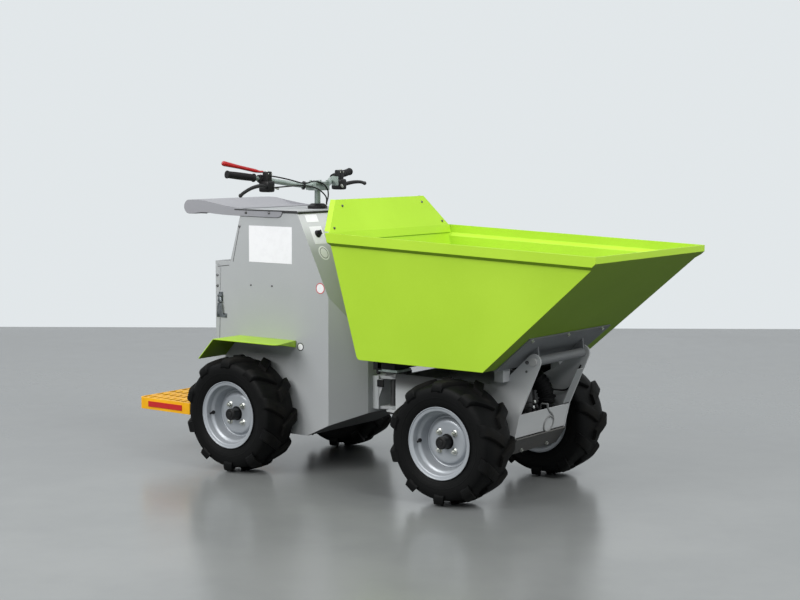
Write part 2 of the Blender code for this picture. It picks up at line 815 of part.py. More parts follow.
def door_shape():
    """A shallow pan with two hinge knuckles down its left edge."""
    w = body_half_width
    pan = block(body_rear, door_front - seat_gap, -w, w, door_bottom, door_top)
    hollow = block(body_rear + sheet, door_front + overrun, -w + sheet, w - sheet,
                   door_bottom + sheet, door_top - sheet)
    pan = cut(pan, hollow)
    for low in (door_bottom + hinge_inset, door_top - hinge_inset - hinge_length):
        knuckle = lathe([(0, 0), (0, hinge_radius), (hinge_length, hinge_radius), (hinge_length, 0)], bar_sides, 'z',
                        (door_front, w + hinge_stand_off, low), False)
        leaf = block(door_front - hinge_leaf_width, door_front - hinge_radius / 2,
                     w - sheet / 2, w + hinge_leaf, low, low + hinge_length)
        pan = union([pan, leaf, knuckle])
    return pan


def shelf_shape():
    """The pan behind the handlebars: an upswept sheet between two side flanges bolted to the body."""
    w = shelf_half_width
    shelf_low = body_top + top_plate_thickness - shelf_flange_drop
    shelf_crest = body_top + top_plate_thickness + shelf_crest_rise
    shelf_nose_top = shelf_crest - shelf_nose_drop
    flange_side = [
        (shelf_flange_front, shelf_low + sheet),
        (shelf_front, body_top + top_plate_thickness),
        (shelf_sheet_front, body_top + top_plate_thickness),
        (shelf_crest_front, shelf_crest),
        (shelf_crest_rear, shelf_crest),
        (shelf_nose, shelf_nose_top),
        (shelf_tail, shelf_low),
        (shelf_flange_front - sheet, shelf_low),
    ]
    line = [
        (shelf_sheet_front + overrun, body_top + top_plate_thickness + seat_gap),
        (shelf_sheet_front, body_top + top_plate_thickness + seat_gap),
        (shelf_crest_front, shelf_crest),
        (shelf_crest_rear, shelf_crest + sheet),
        (shelf_nose + sheet, shelf_crest - sheet),
        (shelf_nose, shelf_nose_top),
        (shelf_tail, shelf_low),
    ]
    pan = prism(thick_line(line, sheet), 'y', -w, w)
    inner = body_half_width + seat_gap
    for side in (-1, 1):
        pan = union([pan, prism(flange_side, 'y', min(side * inner, side * w), max(side * inner, side * w))])
    return pan


def fender_shape():
    """The right-hand fender: a flat top, a slanting flap behind it and a folded corner in front."""
    inner = -body_half_width - seat_gap
    outer = -fender_half_width
    shape = bmesh.new()
    rounded = arc((fender_outer_front - fender_fillet, outer + fender_fillet), fender_fillet, 0, -90, 4)
    share = fender_lip_width / (inner - rounded[0][1])
    lip_x = fender_inner_front + (rounded[0][0] - fender_inner_front) * share
    top_points = [(fender_rear, inner), (fender_inner_front, inner), (lip_x, inner - fender_lip_width)]
    top_points += rounded + [(fender_rear, outer)]
    top = [shape.verts.new((x, y, fender_height)) for x, y in top_points]
    low_inner, low_outer = (shape.verts.new((fender_rear - fender_flap_run, y, fender_height - fender_flap_drop))
                            for y in (inner, outer))
    lip = shape.verts.new((fender_inner_front, inner, fender_height - fender_front_lip))
    shape.faces.new(top)
    shape.faces.new((top[0], top[-1], low_outer, low_inner))
    shape.faces.new((top[1], top[2], lip))
    bmesh.ops.recalc_face_normals(shape, faces=shape.faces)
    for face in shape.faces:
        face.normal_update()
    if shape.faces[:][0].normal.z < 0:
        bmesh.ops.reverse_faces(shape, faces=shape.faces)

    def prepare(host):
        skin = host.modifiers.new("sheet", 'SOLIDIFY')
        skin.thickness = fender_sheet
        skin.offset = -1
        skin.use_even_offset = True

    shape = polished(worked(shape, prepare))
    # the sheet's inner edges stay flush with the side panel
    for vertex in shape.verts:
        vertex.co.y = min(vertex.co.y, inner)
    return shape


def step_shape():
    """The moulded tread: a hollow tray with rows of slots through its top."""
    rear = -rear_reach
    w = step_half_width
    c = step_corner
    low = step_top - step_height
    outline = [(step_front, -w), (step_front, w), (rear + c, w), (rear, w - c), (rear, -w + c), (rear + c, -w)]
    tray = prism(outline, 'z', low, step_top)
    t = step_wall
    inner = [(step_front - t, -w + t), (step_front - t, w - t), (rear + c, w - t), (rear + t, w - c),
             (rear + t, -w + c), (rear + c, -w + t)]
    tray = cut(tray, prism(inner, 'z', low - overrun, step_top - t))
    depth = rear_reach + step_front
    rows = max(int(depth / (step_slot_width + step_row_web)), 1)
    columns = max(int(2 * w / (step_slot_length + step_column_web)), 1)
    row_pitch = depth / rows
    column_pitch = 2 * w / columns
    slots = bmesh.new()
    for row in range(rows):
        for column in range(columns):
            x = rear + row_pitch * (row + 0.5)
            y = -w + column_pitch * (column + 0.5)
            slot = block(x - step_slot_width / 2, x + step_slot_width / 2, y - step_slot_length / 2,
                         y + step_slot_length / 2, step_top - t - overrun, step_top + overrun)
            corners = {vertex: slots.verts.new(vertex.co) for vertex in slot.verts}
            for face in slot.faces:
                slots.faces.new([corners[vertex] for vertex in face.verts])
            slot.free()
    return cut(tray, slots)


def step_bracket_shape():
    """Two arms that carry the tread's front wall, on a cross plate against the body's rear."""
    top = step_top - step_wall - seat_gap
    bottom = top - step_arm_height
    tie = block(door_front - plate - seat_gap, door_front - seat_gap, -step_arm_half_spacing - step_arm_half_width,
                step_arm_half_spacing + step_arm_half_width, bottom, top)
    arms = []
    for side in (-1, 1):
        y = side * step_arm_half_spacing
        arms.append(block(step_front + seat_gap, door_front - plate, y - step_arm_half_width,
                          y + step_arm_half_width, bottom, top))
    return union([tie] + arms)


def rear_half():
    add_piece("rear_body", body_shape(), "grey paint")
    top_front = body_lean_top + top_plate_overhang
    add_piece("top_plate", block(body_top_rear - top_plate_overhang, top_front, -body_half_width, body_half_width,
                                 body_top + seat_gap, body_top + top_plate_thickness), "grey paint")
    add_piece("rear_door", door_shape(), "grey paint", "machine",
              (door_front, body_half_width + hinge_stand_off, door_bottom))
    add_piece("rear_shelf", shelf_shape(), "grey paint")
    add_piece("fender_right", fender_shape(), "lime paint")
    add_piece("fender_left", mirrored(fender_shape()), "lime paint")
    inner = body_half_width - sheet - seat_gap
    tray = block(battery_rear, battery_front, -inner, inner, battery_bottom - battery_tray, battery_bottom)
    cells = block(battery_rear, battery_front, -battery_half_width, battery_half_width,
                  battery_bottom - battery_tray / 2, battery_top)
    add_piece("battery", union([tray, cells]), "black plastic")
    axle("rear_axle", rear_axle_x, "machine")


# The machine's own empty carries the shift from mid-wheelbase to under the middle of the whole
machine = bpy.data.objects.new("machine", None)
bpy.context.scene.collection.objects.link(machine)
machine.location = ((rear_reach - front_reach) / 2, 0, 0)
origins["machine"] = Vector((0, 0, 0))


# Steering

def steering_flange_shape():
    low = body_top + top_plate_thickness + seat_gap
    ring = [
        (0, column_radius + pin_clearance),
        (0, column_flange_radius),
        (column_flange_height / 2, column_flange_radius),
        (column_flange_height, column_flange_radius / 2 + column_radius / 2),
        (column_flange_height, column_radius + pin_clearance),
    ]
    return lathe(ring, hub_steps, 'z', (column_x, 0, low), True)


# (x, half spread, height) of the bar's bends, from the stem out to the grip's end
bar_bends = (
    (bar_clamp_x, 0, bar_height),
    (bar_inner_x, bar_inner_half, bar_height),
    (bar_mid_x, bar_mid_half, bar_height + bar_mid_rise),
    (grip_inner_x, grip_inner_half, bar_height + grip_inner_rise),
    (grip_end_x, grip_end_half, bar_height + grip_end_rise),
)


def bar_point(bend, side):
    x, spread, height = bend
    return Vector((x, side * spread, height))


def handlebar_shape():
    """Column, stem block and the swept-back bar, one weldment."""
    bottom = body_top + top_plate_thickness + 2 * seat_gap
    stem_bottom = bar_height - stem_drop
    column = rod_between((column_x, 0, bottom), (column_x, 0, stem_bottom + stem_height / 2), column_radius, bar_sides)
    stem = block(column_x - stem_half_length, column_x + stem_half_length, -stem_half_width, stem_half_width,
                 stem_bottom, stem_bottom + stem_height)
    halves = []
    tips = []
    for side in (1, -1):
        start, _, along = grip_line(side)
        bends = [bar_point(bend, side) for bend in bar_bends[:3]]
        # straight under the lever's clamp, then turned square into the grip
        straight = start + (bends[2] - start).normalized() * control_length * 2
        halves.append(bends + [straight, start])
        tips.append(start + along * grip_overlap)
    bar = swept([tips[1]] + eased(halves[1][::-1] + halves[0][1:], 3) + [tips[0]], bar_radius, bar_sides)
    return union([column, stem, bar])


def grip_line(side):
    """The grip's inner end, its outer end and the direction between them."""
    start = bar_point(bar_bends[3], side)
    end = bar_point(bar_bends[4], side)
    return start, end, (end - start).normalized()


def grip_shape(side):
    start, end, along = grip_line(side)
    return rod_between(start + along * (grip_overlap + seat_gap), end, grip_radius, bar_sides)


def clamp_middle(side):
    """The middle of the lever's clamp, and the bar's direction there towards the stem."""
    start, _, _ = grip_line(side)
    inward = (bar_point(bar_bends[2], side) - start).normalized()
    return start + inward * control_length, inward


def control_shape(side):
    """The clamp round the bar inboard of the grip, the perch in front of it and its brake lever."""
    start, _, _ = grip_line(side)
    middle, inward = clamp_middle(side)
    near = middle - inward * control_length / 2
    far = middle + inward * control_length / 2
    clamp = rod_between(near, far, control_radius, bar_sides)
    perch_x = middle.x + perch_forward
    perch_z = middle.z - perch_drop
    perch = block(perch_x - perch_half, perch_x + perch_half, middle.y - perch_half, middle.y + perch_half,
                  perch_z - perch_half_height, perch_z + perch_half_height)
    cap = block(middle.x - perch_cap_half, perch_x + perch_cap_half / 2, middle.y - perch_cap_half,
                middle.y + perch_cap_half, middle.z, middle.z + perch_cap_height)
    knots = [start + Vector((forward * lever_forward, side * outboard * lever_reach, -down * lever_drop))
             for outboard, forward, down in lever_line_shares]
    line = eased(knots, lever_steps)
    sections = []
    for index in range(len(line)):
        place = index / lever_steps
        before = min(int(place), len(lever_section_shares) - 2)
        after = place - before
        sections.append(lever_section_shares[before] * (1 - after) + lever_section_shares[before + 1] * after)
    lever = tapered(line, [share * lever_half_width for share in sections],
                    [share * lever_half_thickness for share in sections], lever_sides)
    body = union([clamp, perch, cap, lever])
    # the perch stands past the clamp's ends, so the bore runs on through it
    longer = inward * perch_half
    bore = rod_between(near - longer, far + longer, bar_radius + control_clearance, bar_sides)
    return cut(body, bore)


def red_lever_shape():
    """The drive lever over the right-hand grip, standing on the clamp's box."""
    _, _, along = grip_line(-1)
    middle, inward = clamp_middle(-1)
    lift = perch_cap_height + drive_lever_gap + red_lever_half_thickness * red_lever_shares[0][2]
    foot = middle + Vector((0, 0, lift))
    level = Vector((along.x, along.y, 0)).normalized()
    root = foot + level * perch_cap_half
    tip = root + along * red_lever_length + Vector((-red_lever_sweep, 0, red_lever_rise))
    line = [foot] + [root.lerp(tip, place) for place, _, _ in red_lever_shares]
    widths = [red_lever_shares[0][1]] + [width for _, width, _ in red_lever_shares]
    heights = [red_lever_shares[0][2]] + [height for _, _, height in red_lever_shares]
    return tapered(line, [share * red_lever_half_width for share in widths],
                   [share * red_lever_half_thickness for share in heights], lever_sides)


def steering():
    add_piece("steering_flange", steering_flange_shape(), "black plastic")
    add_piece("handlebar", handlebar_shape(), "bright steel", "machine", (column_x, 0, bar_height))
    for label, side in (("right", -1), ("left", 1)):
        add_piece("grip_" + label, grip_shape(side), "black plastic", "handlebar")
        add_piece("brake_lever_" + label, control_shape(side), "black plastic", "handlebar")
    add_piece("drive_lever", red_lever_shape(), "red plastic", "handlebar")
    for label, run in cable_runs:
        line = eased(run, lever_steps)
        add_piece("cable_" + label, swept(line, cable_radius, cable_sides), "black plastic", "handlebar")


# Articulation

def hitch_outline(back):
    """Plan of a hitch plate, from its root at back to the eye round the pin."""
    way = 1 if back > 0 else -1
    eye = arc((0, 0), hitch_eye_radius, 90, 270, 8) if way > 0 else arc((0, 0), hitch_eye_radius, -90, 90, 8)
    return [(back, -way * hitch_half_width), (back, way * hitch_half_width)] + eye


def rear_hitch_shape():
    """Two plates on an upright web against the body's nose."""
    back = body_nose_front + seat_gap
    upper = prism(hitch_outline(back), 'z', hitch_upper, hitch_upper + hitch_plate)
    lower = prism(hitch_outline(back), 'z', hitch_lower, hitch_lower + hitch_plate)
    web = block(back, back + hitch_web, -hitch_half_width, hitch_half_width, hitch_lower, hitch_upper + hitch_plate)
    bore = rod_between((0, 0, hitch_lower - overrun), (0, 0, hitch_upper + hitch_plate + overrun),
                       hitch_pin_radius + seat_gap, hub_steps)
    return cut(union([web, upper, lower]), bore)


def hitch_pin_shape():
    low = hitch_lower - hitch_plate - seat_gap * 2
    high = hitch_upper + hitch_plate * 2 + seat_gap * 3
    length = high - low
    profile = [(-hitch_pin_head, 0), (-hitch_pin_head, hitch_pin_head_radius), (0, hitch_pin_head_radius),
               (0, hitch_pin_radius), (length, hitch_pin_radius), (length, hitch_cap_radius),
               (length + hitch_pin_head, hitch_cap_radius), (length + hitch_pin_head, 0)]
    return lathe(profile, hub_steps, 'z', (0, 0, low), False)


# Front frame

def side_plate_outline():
    """One side of the front frame: a keel, a rising brow and the eye of the tipping pivot."""
    eye = arc((pivot_x, pivot_z), eye_radius, -20, 140, 8)
    return [
        (frame_rear, frame_rear_bottom),
        (frame_keel_rear, frame_keel),
        (frame_toe, frame_keel),
        (frame_front_bottom_x, frame_front_bottom),
        (frame_front_mid_x, frame_front_mid),
        (frame_brow_x, frame_brow),
    ] + eye + [
        (frame_neck_x, frame_neck),
        (frame_saddle_x, frame_rear_top),
        (frame_rear, frame_rear_top),
    ]


def front_frame_shape():
    """Side plates tied by cross plates, with the hitch lugs behind and the rest stubs outboard."""
    w = frame_half_width
    inner = w - plate
    outline = side_plate_outline()
    sides = [prism(outline, 'y', -w, -inner), prism(outline, 'y', inner, w)]
    bite = plate / 2
    rear_tie = block(frame_rear, frame_rear + plate, -inner - bite, inner + bite,
                     frame_rear_bottom + plate, frame_rear_top - plate)
    front_tie = prism(thick_line([(frame_front_bottom_x - plate / 4, frame_front_bottom + plate / 4),
                                  (frame_front_mid_x - plate / 4, frame_front_mid)], plate / 2),
                      'y', -inner - bite, inner + bite)
    shaft = rod_between((actuator_base_x, -inner - bite, actuator_base_z),
                        (actuator_base_x, inner + bite, actuator_base_z), actuator_shaft_radius, bar_sides)
    back = frame_rear + plate / 2
    upper_low = hitch_upper + hitch_plate + seat_gap
    lower_low = hitch_lower - seat_gap - hitch_plate
    lugs = [prism(hitch_outline(back), 'z', upper_low, upper_low + hitch_plate),
            prism(hitch_outline(back), 'z', lower_low, lower_low + hitch_plate)]
    # the lower lug is tied up to the rear cross plate
    web = block(frame_rear - plate, frame_rear + plate / 2, -hitch_half_width, hitch_half_width,
                lower_low, hitch_upper + 2 * hitch_plate)
    stub_top = skip_floor - rest_pad_thickness - 2 * seat_gap
    stubs = []
    for side in (-1, 1):
        stubs.append(block(rest_stub_x - rest_stub_half_x, rest_stub_x + rest_stub_half_x,
                           min(side * (w - bite), side * (w + rest_stub_length)),
                           max(side * (w - bite), side * (w + rest_stub_length)),
                           stub_top - rest_stub_height, stub_top))
    frame = union(sides + [rear_tie, front_tie, shaft, web] + lugs + stubs)
    bore = rod_between((0, 0, lower_low - overrun), (0, 0, upper_low + hitch_plate + overrun),
                       hitch_pin_radius + pin_clearance, hub_steps)
    frame = cut(frame, bore)
    for x, z, radius in ((front_axle_x, axle_z, axle_radius + pin_clearance),
                         (pivot_x, pivot_z, pivot_pin_radius + seat_gap)):
        frame = cut(frame, rod_between((x, -w - overrun, z), (x, w + overrun, z), radius, axle_steps))
    return frame


def skid_shape():
    line = [(frame_keel_rear, frame_keel - seat_gap), (frame_toe, frame_keel - seat_gap),
            (frame_front_bottom_x + skid_plate / 2, frame_front_bottom - seat_gap)]
    return prism(thick_line(line[::-1], skid_plate), 'y', -skid_half_width, skid_half_width)


def rest_bar_shape():
    return block(rest_bar_x - rest_bar_half_x, rest_bar_x + rest_bar_half_x, -rest_bar_half_width,
                 rest_bar_half_width, frame_rear_top + seat_gap, skip_floor - seat_gap)


def rest_pad_shape(side):
    top = skip_floor - seat_gap
    inner = frame_half_width + rest_pad_thickness
    outer = frame_half_width + rest_stub_length
    return block(rest_stub_x - rest_stub_half_x, rest_stub_x + rest_stub_half_x,
                 min(side * inner, side * outer), max(side * inner, side * outer), top - rest_pad_thickness, top)


# Skip

def plane_through(a, b, c):
    """A plane as its unit normal and its distance, from three points."""
    normal = (Vector(b) - Vector(a)).cross(Vector(c) - Vector(a)).normalized()
    return normal, normal.dot(Vector(a))


def meeting(planes):
    """The point where three planes meet."""
    rows = Matrix([plane[0] for plane in planes])
    return rows.inverted() @ Vector([plane[1] for plane in planes])


def inward(plane, depth, inside):
    """The same plane moved towards a point inside by a depth."""
    normal, distance = plane
    way = 1 if normal.dot(Vector(inside)) > distance else -1
    return normal, distance + way * depth


def skip_shape():
    """The hopper: five flat panels, a ledge and an upright lip round the sides, open above."""
    w = skip_floor_half_width
    rise = (skip_rim_front_height - skip_rim_rear_height) / (front_reach - skip_rear_rim)

    def level(drop):
        """A plane parallel to the sloping rim, this far under it."""
        return plane_through((skip_rear_rim, 0, skip_rim_rear_height - drop),
                             (skip_rear_rim, 1, skip_rim_rear_height - drop),
                             (skip_rear_rim + 1, 0, skip_rim_rear_height - drop + rise))

    inside = ((skip_floor_rear + skip_floor_front) / 2, 0, (skip_floor + skip_rim_front_height) / 2)
    ledge_drop = skip_lip + skip_ledge_rise
    mid_rim = (skip_rim_rear_height + skip_rim_front_height) / 2
    floor = plane_through((0, 0, skip_floor), (1, 0, skip_floor), (0, 1, skip_floor))
    rear = plane_through((skip_floor_rear, 0, skip_floor), (skip_floor_rear, 1, skip_floor),
                         (skip_rear_rim, 0, skip_rim_rear_height))
    front = plane_through((skip_floor_front, 0, skip_floor), (skip_floor_front, 1, skip_floor),
                          (front_reach, 0, skip_rim_front_height - skip_front_lip))
    nose = plane_through((front_reach, 0, 0), (front_reach, 1, 0), (front_reach, 0, 1))
    sides = {side: plane_through((0, side * w, skip_floor), (1, side * w, skip_floor),
                                 (0, side * skip_side_half_width, mid_rim - ledge_drop)) for side in (-1, 1)}
    rims = {side: plane_through((0, side * skip_rim_half_width, 0), (1, side * skip_rim_half_width, 0),
                                (0, side * skip_rim_half_width, 1)) for side in (-1, 1)}

    def ring(height_plane, side_planes, front_plane, depth):
        """Four corners where a level meets the walls: rear right, front right, front left, rear left."""
        corners = []
        for end_plane, side in ((rear, -1), (front_plane, -1), (front_plane, 1), (rear, 1)):
            corners.append(meeting((height_plane, inward(side_planes[side], depth, inside),
                                    inward(end_plane, depth, inside))))
        return corners

    def bend(depth):
        """Four-cornered rings up the bend from the floor to the rear wall."""
        rise_angle = atan2(skip_rim_rear_height - skip_floor, skip_rear_rim - skip_floor_rear)
        radius = skip_bend_radius - depth
        foot = meeting((inward(floor, depth, inside), inward(rear, depth, inside), sides[1]))
        centre = (foot[0] + radius / tan(rise_angle / 2), foot[2] + radius)
        end_plane = inward(front, depth, inside)
        found = []
        for x, z in arc(centre, radius, 270, degrees(rise_angle) + 90, skip_bend_steps):
            height_plane = plane_through((0, 0, z), (1, 0, z), (0, 1, z))
            upright = plane_through((x, 0, 0), (x, 1, 0), (x, 0, 1))
            found.append([meeting((height_plane, inward(sides[side], depth, inside), wall))
                          for wall, side in ((upright, -1), (end_plane, -1), (end_plane, 1), (upright, 1))])
        return found

    t = skip_sheet
    rings = bend(0) + [
        ring(level(ledge_drop), sides, front, 0),
        ring(level(skip_lip), rims, front, 0),
        ring(level(skip_front_lip), rims, front, 0),
        ring(level(0), rims, nose, 0),
        ring(level(0), rims, nose, t),
        ring(level(skip_front_lip - t / 2), rims, front, t),
        ring(level(skip_lip - t), rims, front, t),
        ring(level(ledge_drop - t), sides, front, t),
    ] + bend(t)[::-1]
    shape = bmesh.new()
    loops = [[shape.verts.new(corner) for corner in corners] for corners in rings]
    for a, b in zip(loops, loops[1:]):
        for index in range(4):
            shape.faces.new((a[index], a[(index + 1) % 4], b[(index + 1) % 4], b[index]))
    shape.faces.new(loops[0][::-1])
    shape.faces.new(loops[-1])
    return polished(shape)


def rear_wall_x(z):
    """The outer face of the skip's rear wall at height z."""
    share = (z - skip_floor) / (skip_rim_rear_height - skip_floor)
    return skip_floor_rear + share * (skip_rear_rim - skip_floor_rear)


def guard_shape():
    """The splash guard: a plate against the inside of the rear wall, rising above the rim."""
    inside = skip_sheet * sqrt(1 + ((skip_rear_rim - skip_floor_rear) / (skip_rim_rear_height - skip_floor)) ** 2)
    clear = inside + seat_gap * 2
    rim = skip_rim_rear_height
    faces = []
    for shift in (clear, clear + guard_sheet):
        top = skip_rear_rim - guard_set_back + shift
        faces.append([(rear_wall_x(guard_foot_low) + shift, guard_foot_half_width, guard_foot_low),
                      (skip_rear_rim + shift, guard_foot_half_width, rim), (top, guard_half_width, guard_top)])
    shape = bmesh.new()
    loops = []
    for side in (-1, 1):
        for face in faces[::side]:
            loops.append([shape.verts.new((x, side * y, z)) for x, y, z in face])
    for a, b in zip(loops, loops[1:] + loops[:1]):
        for index in range(2):
            shape.faces.new((a[index], a[index + 1], b[index + 1], b[index]))
    shape.faces.new([loop[0] for loop in loops[::-1]])
    shape.faces.new([loop[2] for loop in loops])
    pieces = [polished(shape)]
    # the flanges folded back from the slanting edges, clear of the skip's rim
    share = (guard_foot_clear - rim) / (guard_top - rim)
    for side in (-1, 1):
        foot = Vector(faces[0][1]).lerp(Vector(faces[0][2]), share)
        head = Vector(faces[0][2])
        flange = bmesh.new()
        rows = []
        for corner in (foot, head):
            row = []
            for back, aside in ((-guard_sheet / 2, 0), (guard_flange, 0), (guard_flange, guard_sheet),
                                (-guard_sheet / 2, guard_sheet)):
                row.append(flange.verts.new((corner.x - back, side * (corner.y - aside), corner.z)))
            rows.append(row)
        for index in range(4):
            following = (index + 1) % 4
            flange.faces.new((rows[0][index], rows[0][following], rows[1][following], rows[1][index]))
        flange.faces.new(rows[0][::-1])
        flange.faces.new(rows[1])
        pieces.append(polished(flange))
    return union(pieces)


guard_foot_clear = skip_rim_rear_height + guard_sheet
guard_foot_low = skip_rim_rear_height - skip_lip + seat_gap + skip_sheet


# Tipping pivot and hinge plate

def wall_point(along, below):
    """A point under the front wall: this far up from its foot, and this far below its face."""
    run = front_reach - skip_floor_front
    climb = skip_rim_front_height - skip_front_lip - skip_floor
    length = hypot(run, climb)
    return (skip_floor_front + (along * run + below * climb) / length,
            skip_floor + (along * climb - below * run) / length)


def hinge_plate_shape():
    """The folded plate under the skip, with its gussets, the pivot sleeve and the actuator's lugs."""
    t = hinge_plate_thickness
    run = front_reach - skip_floor_front
    climb = skip_rim_front_height - skip_front_lip - skip_floor
    slope = atan2(climb, run)
    foot = (skip_floor_front, skip_floor - seat_gap)
    # the fold's inner corner keeps the seat gap to both panels
    corner = (foot[0] + seat_gap * (1 - cos(slope)) / sin(slope), foot[1])
    top = wall_point(hinge_plate_reach, seat_gap)
    upper = prism(thick_line([top, corner, (foot[0] - t, foot[1])], t), 'y', -hinge_plate_half_width, hinge_plate_half_width)
    under = block(hinge_foot_rear, foot[0] - t / 2, -hinge_foot_half_width, hinge_foot_half_width, foot[1] - t, foot[1])
    along = ((pivot_x - skip_floor_front) * run + (pivot_z - skip_floor) * climb) / hypot(run, climb)
    pieces = [upper, under]
    pieces.append(rod_between((pivot_x, -pivot_sleeve_half_length, pivot_z), (pivot_x, pivot_sleeve_half_length, pivot_z),
                              pivot_sleeve_radius, hub_steps))
    direction = (cos(slope), sin(slope))
    reach = pivot_sleeve_radius * 0.9
    outline = [
        wall_point(along - gusset_half_length, t / 2),
        wall_point(along + gusset_half_length, t / 2),
        (pivot_x + direction[0] * reach, pivot_z + direction[1] * reach),
        (pivot_x - direction[0] * reach, pivot_z - direction[1] * reach),
    ]
    outer = pivot_sleeve_half_length - gusset_thickness / 2
    for side in (-1, 1):
        pieces.append(prism(outline, 'y', min(side * outer, side * (outer - gusset_thickness)),
                            max(side * outer, side * (outer - gusset_thickness))))
        lug = [(actuator_eye_x - eye_lug_half_length, foot[1] - t / 2), (actuator_eye_x + eye_lug_half_length, foot[1] - t / 2),
               (actuator_eye_x + eye_lug_half_length / 2, actuator_eye_z - eye_lug_half_length / 2),
               (actuator_eye_x - eye_lug_half_length / 2, actuator_eye_z - eye_lug_half_length / 2)]
        pieces.append(prism(lug, 'y', min(side * eye_lug_half_gap, side * (eye_lug_half_gap + eye_lug_thickness)),
                            max(side * eye_lug_half_gap, side * (eye_lug_half_gap + eye_lug_thickness))))
    bore = rod_between((pivot_x, -pivot_sleeve_half_length - overrun, pivot_z),
                       (pivot_x, pivot_sleeve_half_length + overrun, pivot_z), pivot_pin_radius + pin_clearance, axle_steps)
    return cut(union(pieces), bore)


def pivot_pin_shape():
    half = frame_half_width + seat_gap
    profile = [(-half - pivot_head, 0), (-half - pivot_head, pivot_head_radius), (-half, pivot_head_radius),
               (-half, pivot_pin_radius), (half, pivot_pin_radius), (half, pivot_head_radius),
               (half + pivot_head, pivot_head_radius), (half + pivot_head, 0)]
    return lathe(profile, axle_steps, 'y', (pivot_x, 0, pivot_z), False)


# Tipping actuator

def eye_at(tip):
    """The rod's eye when the skip has tipped by this angle."""
    dx = actuator_eye_x - pivot_x
    dz = actuator_eye_z - pivot_z
    return (pivot_x + dx * cos(tip) + dz * sin(tip), pivot_z - dx * sin(tip) + dz * cos(tip))


def actuator_length(tip):
    x, z = eye_at(tip)
    return hypot(x - actuator_base_x, z - actuator_base_z)


shut_length = actuator_length(0)
open_length = actuator_length(tip_range)
barrel_end = shut_length - barrel_end_short
rod_length = open_length - barrel_end + rod_overlap
actuator_tilt = atan2(actuator_eye_x - actuator_base_x, actuator_eye_z - actuator_base_z)


def laid_along_actuator(shape):
    """Turn a shape drawn upright over the base pin into the actuator's line at rest."""
    turn = Matrix.Rotation(actuator_tilt, 4, 'Y')
    place = Matrix.Translation((actuator_base_x, 0, actuator_base_z)) @ turn
    bmesh.ops.transform(shape, matrix=place, verts=shape.verts)
    return shape


def barrel_shape():
    """The barrel with its base eye, and the motor beside it on a short gearbox."""
    tube = lathe([(barrel_start, 0), (barrel_start, barrel_radius), (barrel_end, barrel_radius), (barrel_end, 0)],
                 axle_steps, 'z', (0, 0, 0), False)
    eye = rod_between((0, -actuator_base_eye_half, 0), (0, actuator_base_eye_half, 0), actuator_base_eye_radius, axle_steps)
    link = block(-motor_link_half, motor_link_half, 0, motor_offset, motor_start - motor_link_half, motor_start + motor_link_half)
    motor = rod_between((0, motor_offset, motor_start - motor_link_half), (0, motor_offset, motor_start + motor_length),
                        motor_radius, axle_steps)
    body = union([tube, eye, link, motor])
    body = cut(body, rod_between((0, 0, barrel_start + actuator_base_eye_radius - barrel_bore), (0, 0, barrel_end + overrun),
                                 barrel_bore, axle_steps))
    body = cut(body, rod_between((0, -actuator_base_eye_half - overrun, 0), (0, actuator_base_eye_half + overrun, 0),
                                 actuator_shaft_radius + pin_clearance, bar_sides))
    return laid_along_actuator(body)


def rod_shape():
    rod = rod_between((0, 0, shut_length - rod_length), (0, 0, shut_length), rod_radius, axle_steps)
    eye = rod_between((0, -rod_eye_half, shut_length), (0, rod_eye_half, shut_length), rod_eye_radius, axle_steps)
    return laid_along_actuator(union([rod, eye]))


def front_half():
    add_piece("rear_hitch", rear_hitch_shape(), "grey paint")
    add_piece("hitch_pin", hitch_pin_shape(), "bright steel")
    add_piece("front_frame", front_frame_shape(), "grey paint", "machine", (0, 0, hitch_lower))
    axle("front_axle", front_axle_x, "front_frame")
    add_piece("front_skid", skid_shape(), "black steel", "front_frame")
    add_piece("rest_bar", rest_bar_shape(), "black plastic", "front_frame")
    for label, side in (("right", -1), ("left", 1)):
        add_piece("rest_pad_" + label, rest_pad_shape(side), "tyre rubber", "front_frame")
    add_piece("pivot_pin", pivot_pin_shape(), "bright steel", "front_frame")
    pivot = (pivot_x, 0, pivot_z)
    add_piece("skip", skip_shape(), "lime paint", "front_frame", pivot)
    add_piece("splash_guard", guard_shape(), "lime paint", "skip", pivot)
    add_piece("hinge_plate", hinge_plate_shape(), "grey paint", "skip", pivot)
    base = (actuator_base_x, 0, actuator_base_z)
    add_piece("actuator_barrel", barrel_shape(), "black steel", "front_frame", base)
    add_piece("actuator_rod", rod_shape(), "bright steel", "actuator_barrel", base)


def step():
    add_piece("step_tread", step_shape(), "yellow plastic")
    add_piece("step_bracket", step_bracket_shape(), "black steel")
    middle = -(rear_reach - step_corner + (-step_front)) / 2
    half_length = (rear_reach + step_front - step_corner) / 2 - reflector_margin
    for label, side in (("right", -1), ("left", 1)):
        face = side * step_half_width
        z = step_top - step_height / 2
        add_piece("reflector_" + label,
                  block(middle - half_length, middle + half_length,
                        min(face + side * seat_gap, face + side * reflector_thickness),
                        max(face + side * seat_gap, face + side * reflector_thickness),
                        z - reflector_height / 2, z + reflector_height / 2), "red plastic")


rear_half()
step()
steering()
front_half()
# (name, x, side, the piece that carries it)
for label, x, side, carrier in (
    ("rear_right", rear_axle_x, -1, "rear_axle"),
    ("rear_left", rear_axle_x, 1, "rear_axle"),
    ("front_right", front_axle_x, -1, "front_axle"),
    ("front_left", front_axle_x, 1, "front_axle"),
):
    wheel(label, x, side, carrier)
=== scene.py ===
from math import cos, pi, radians, sin, tau

import bmesh
import bpy
from mathutils import Matrix, Vector


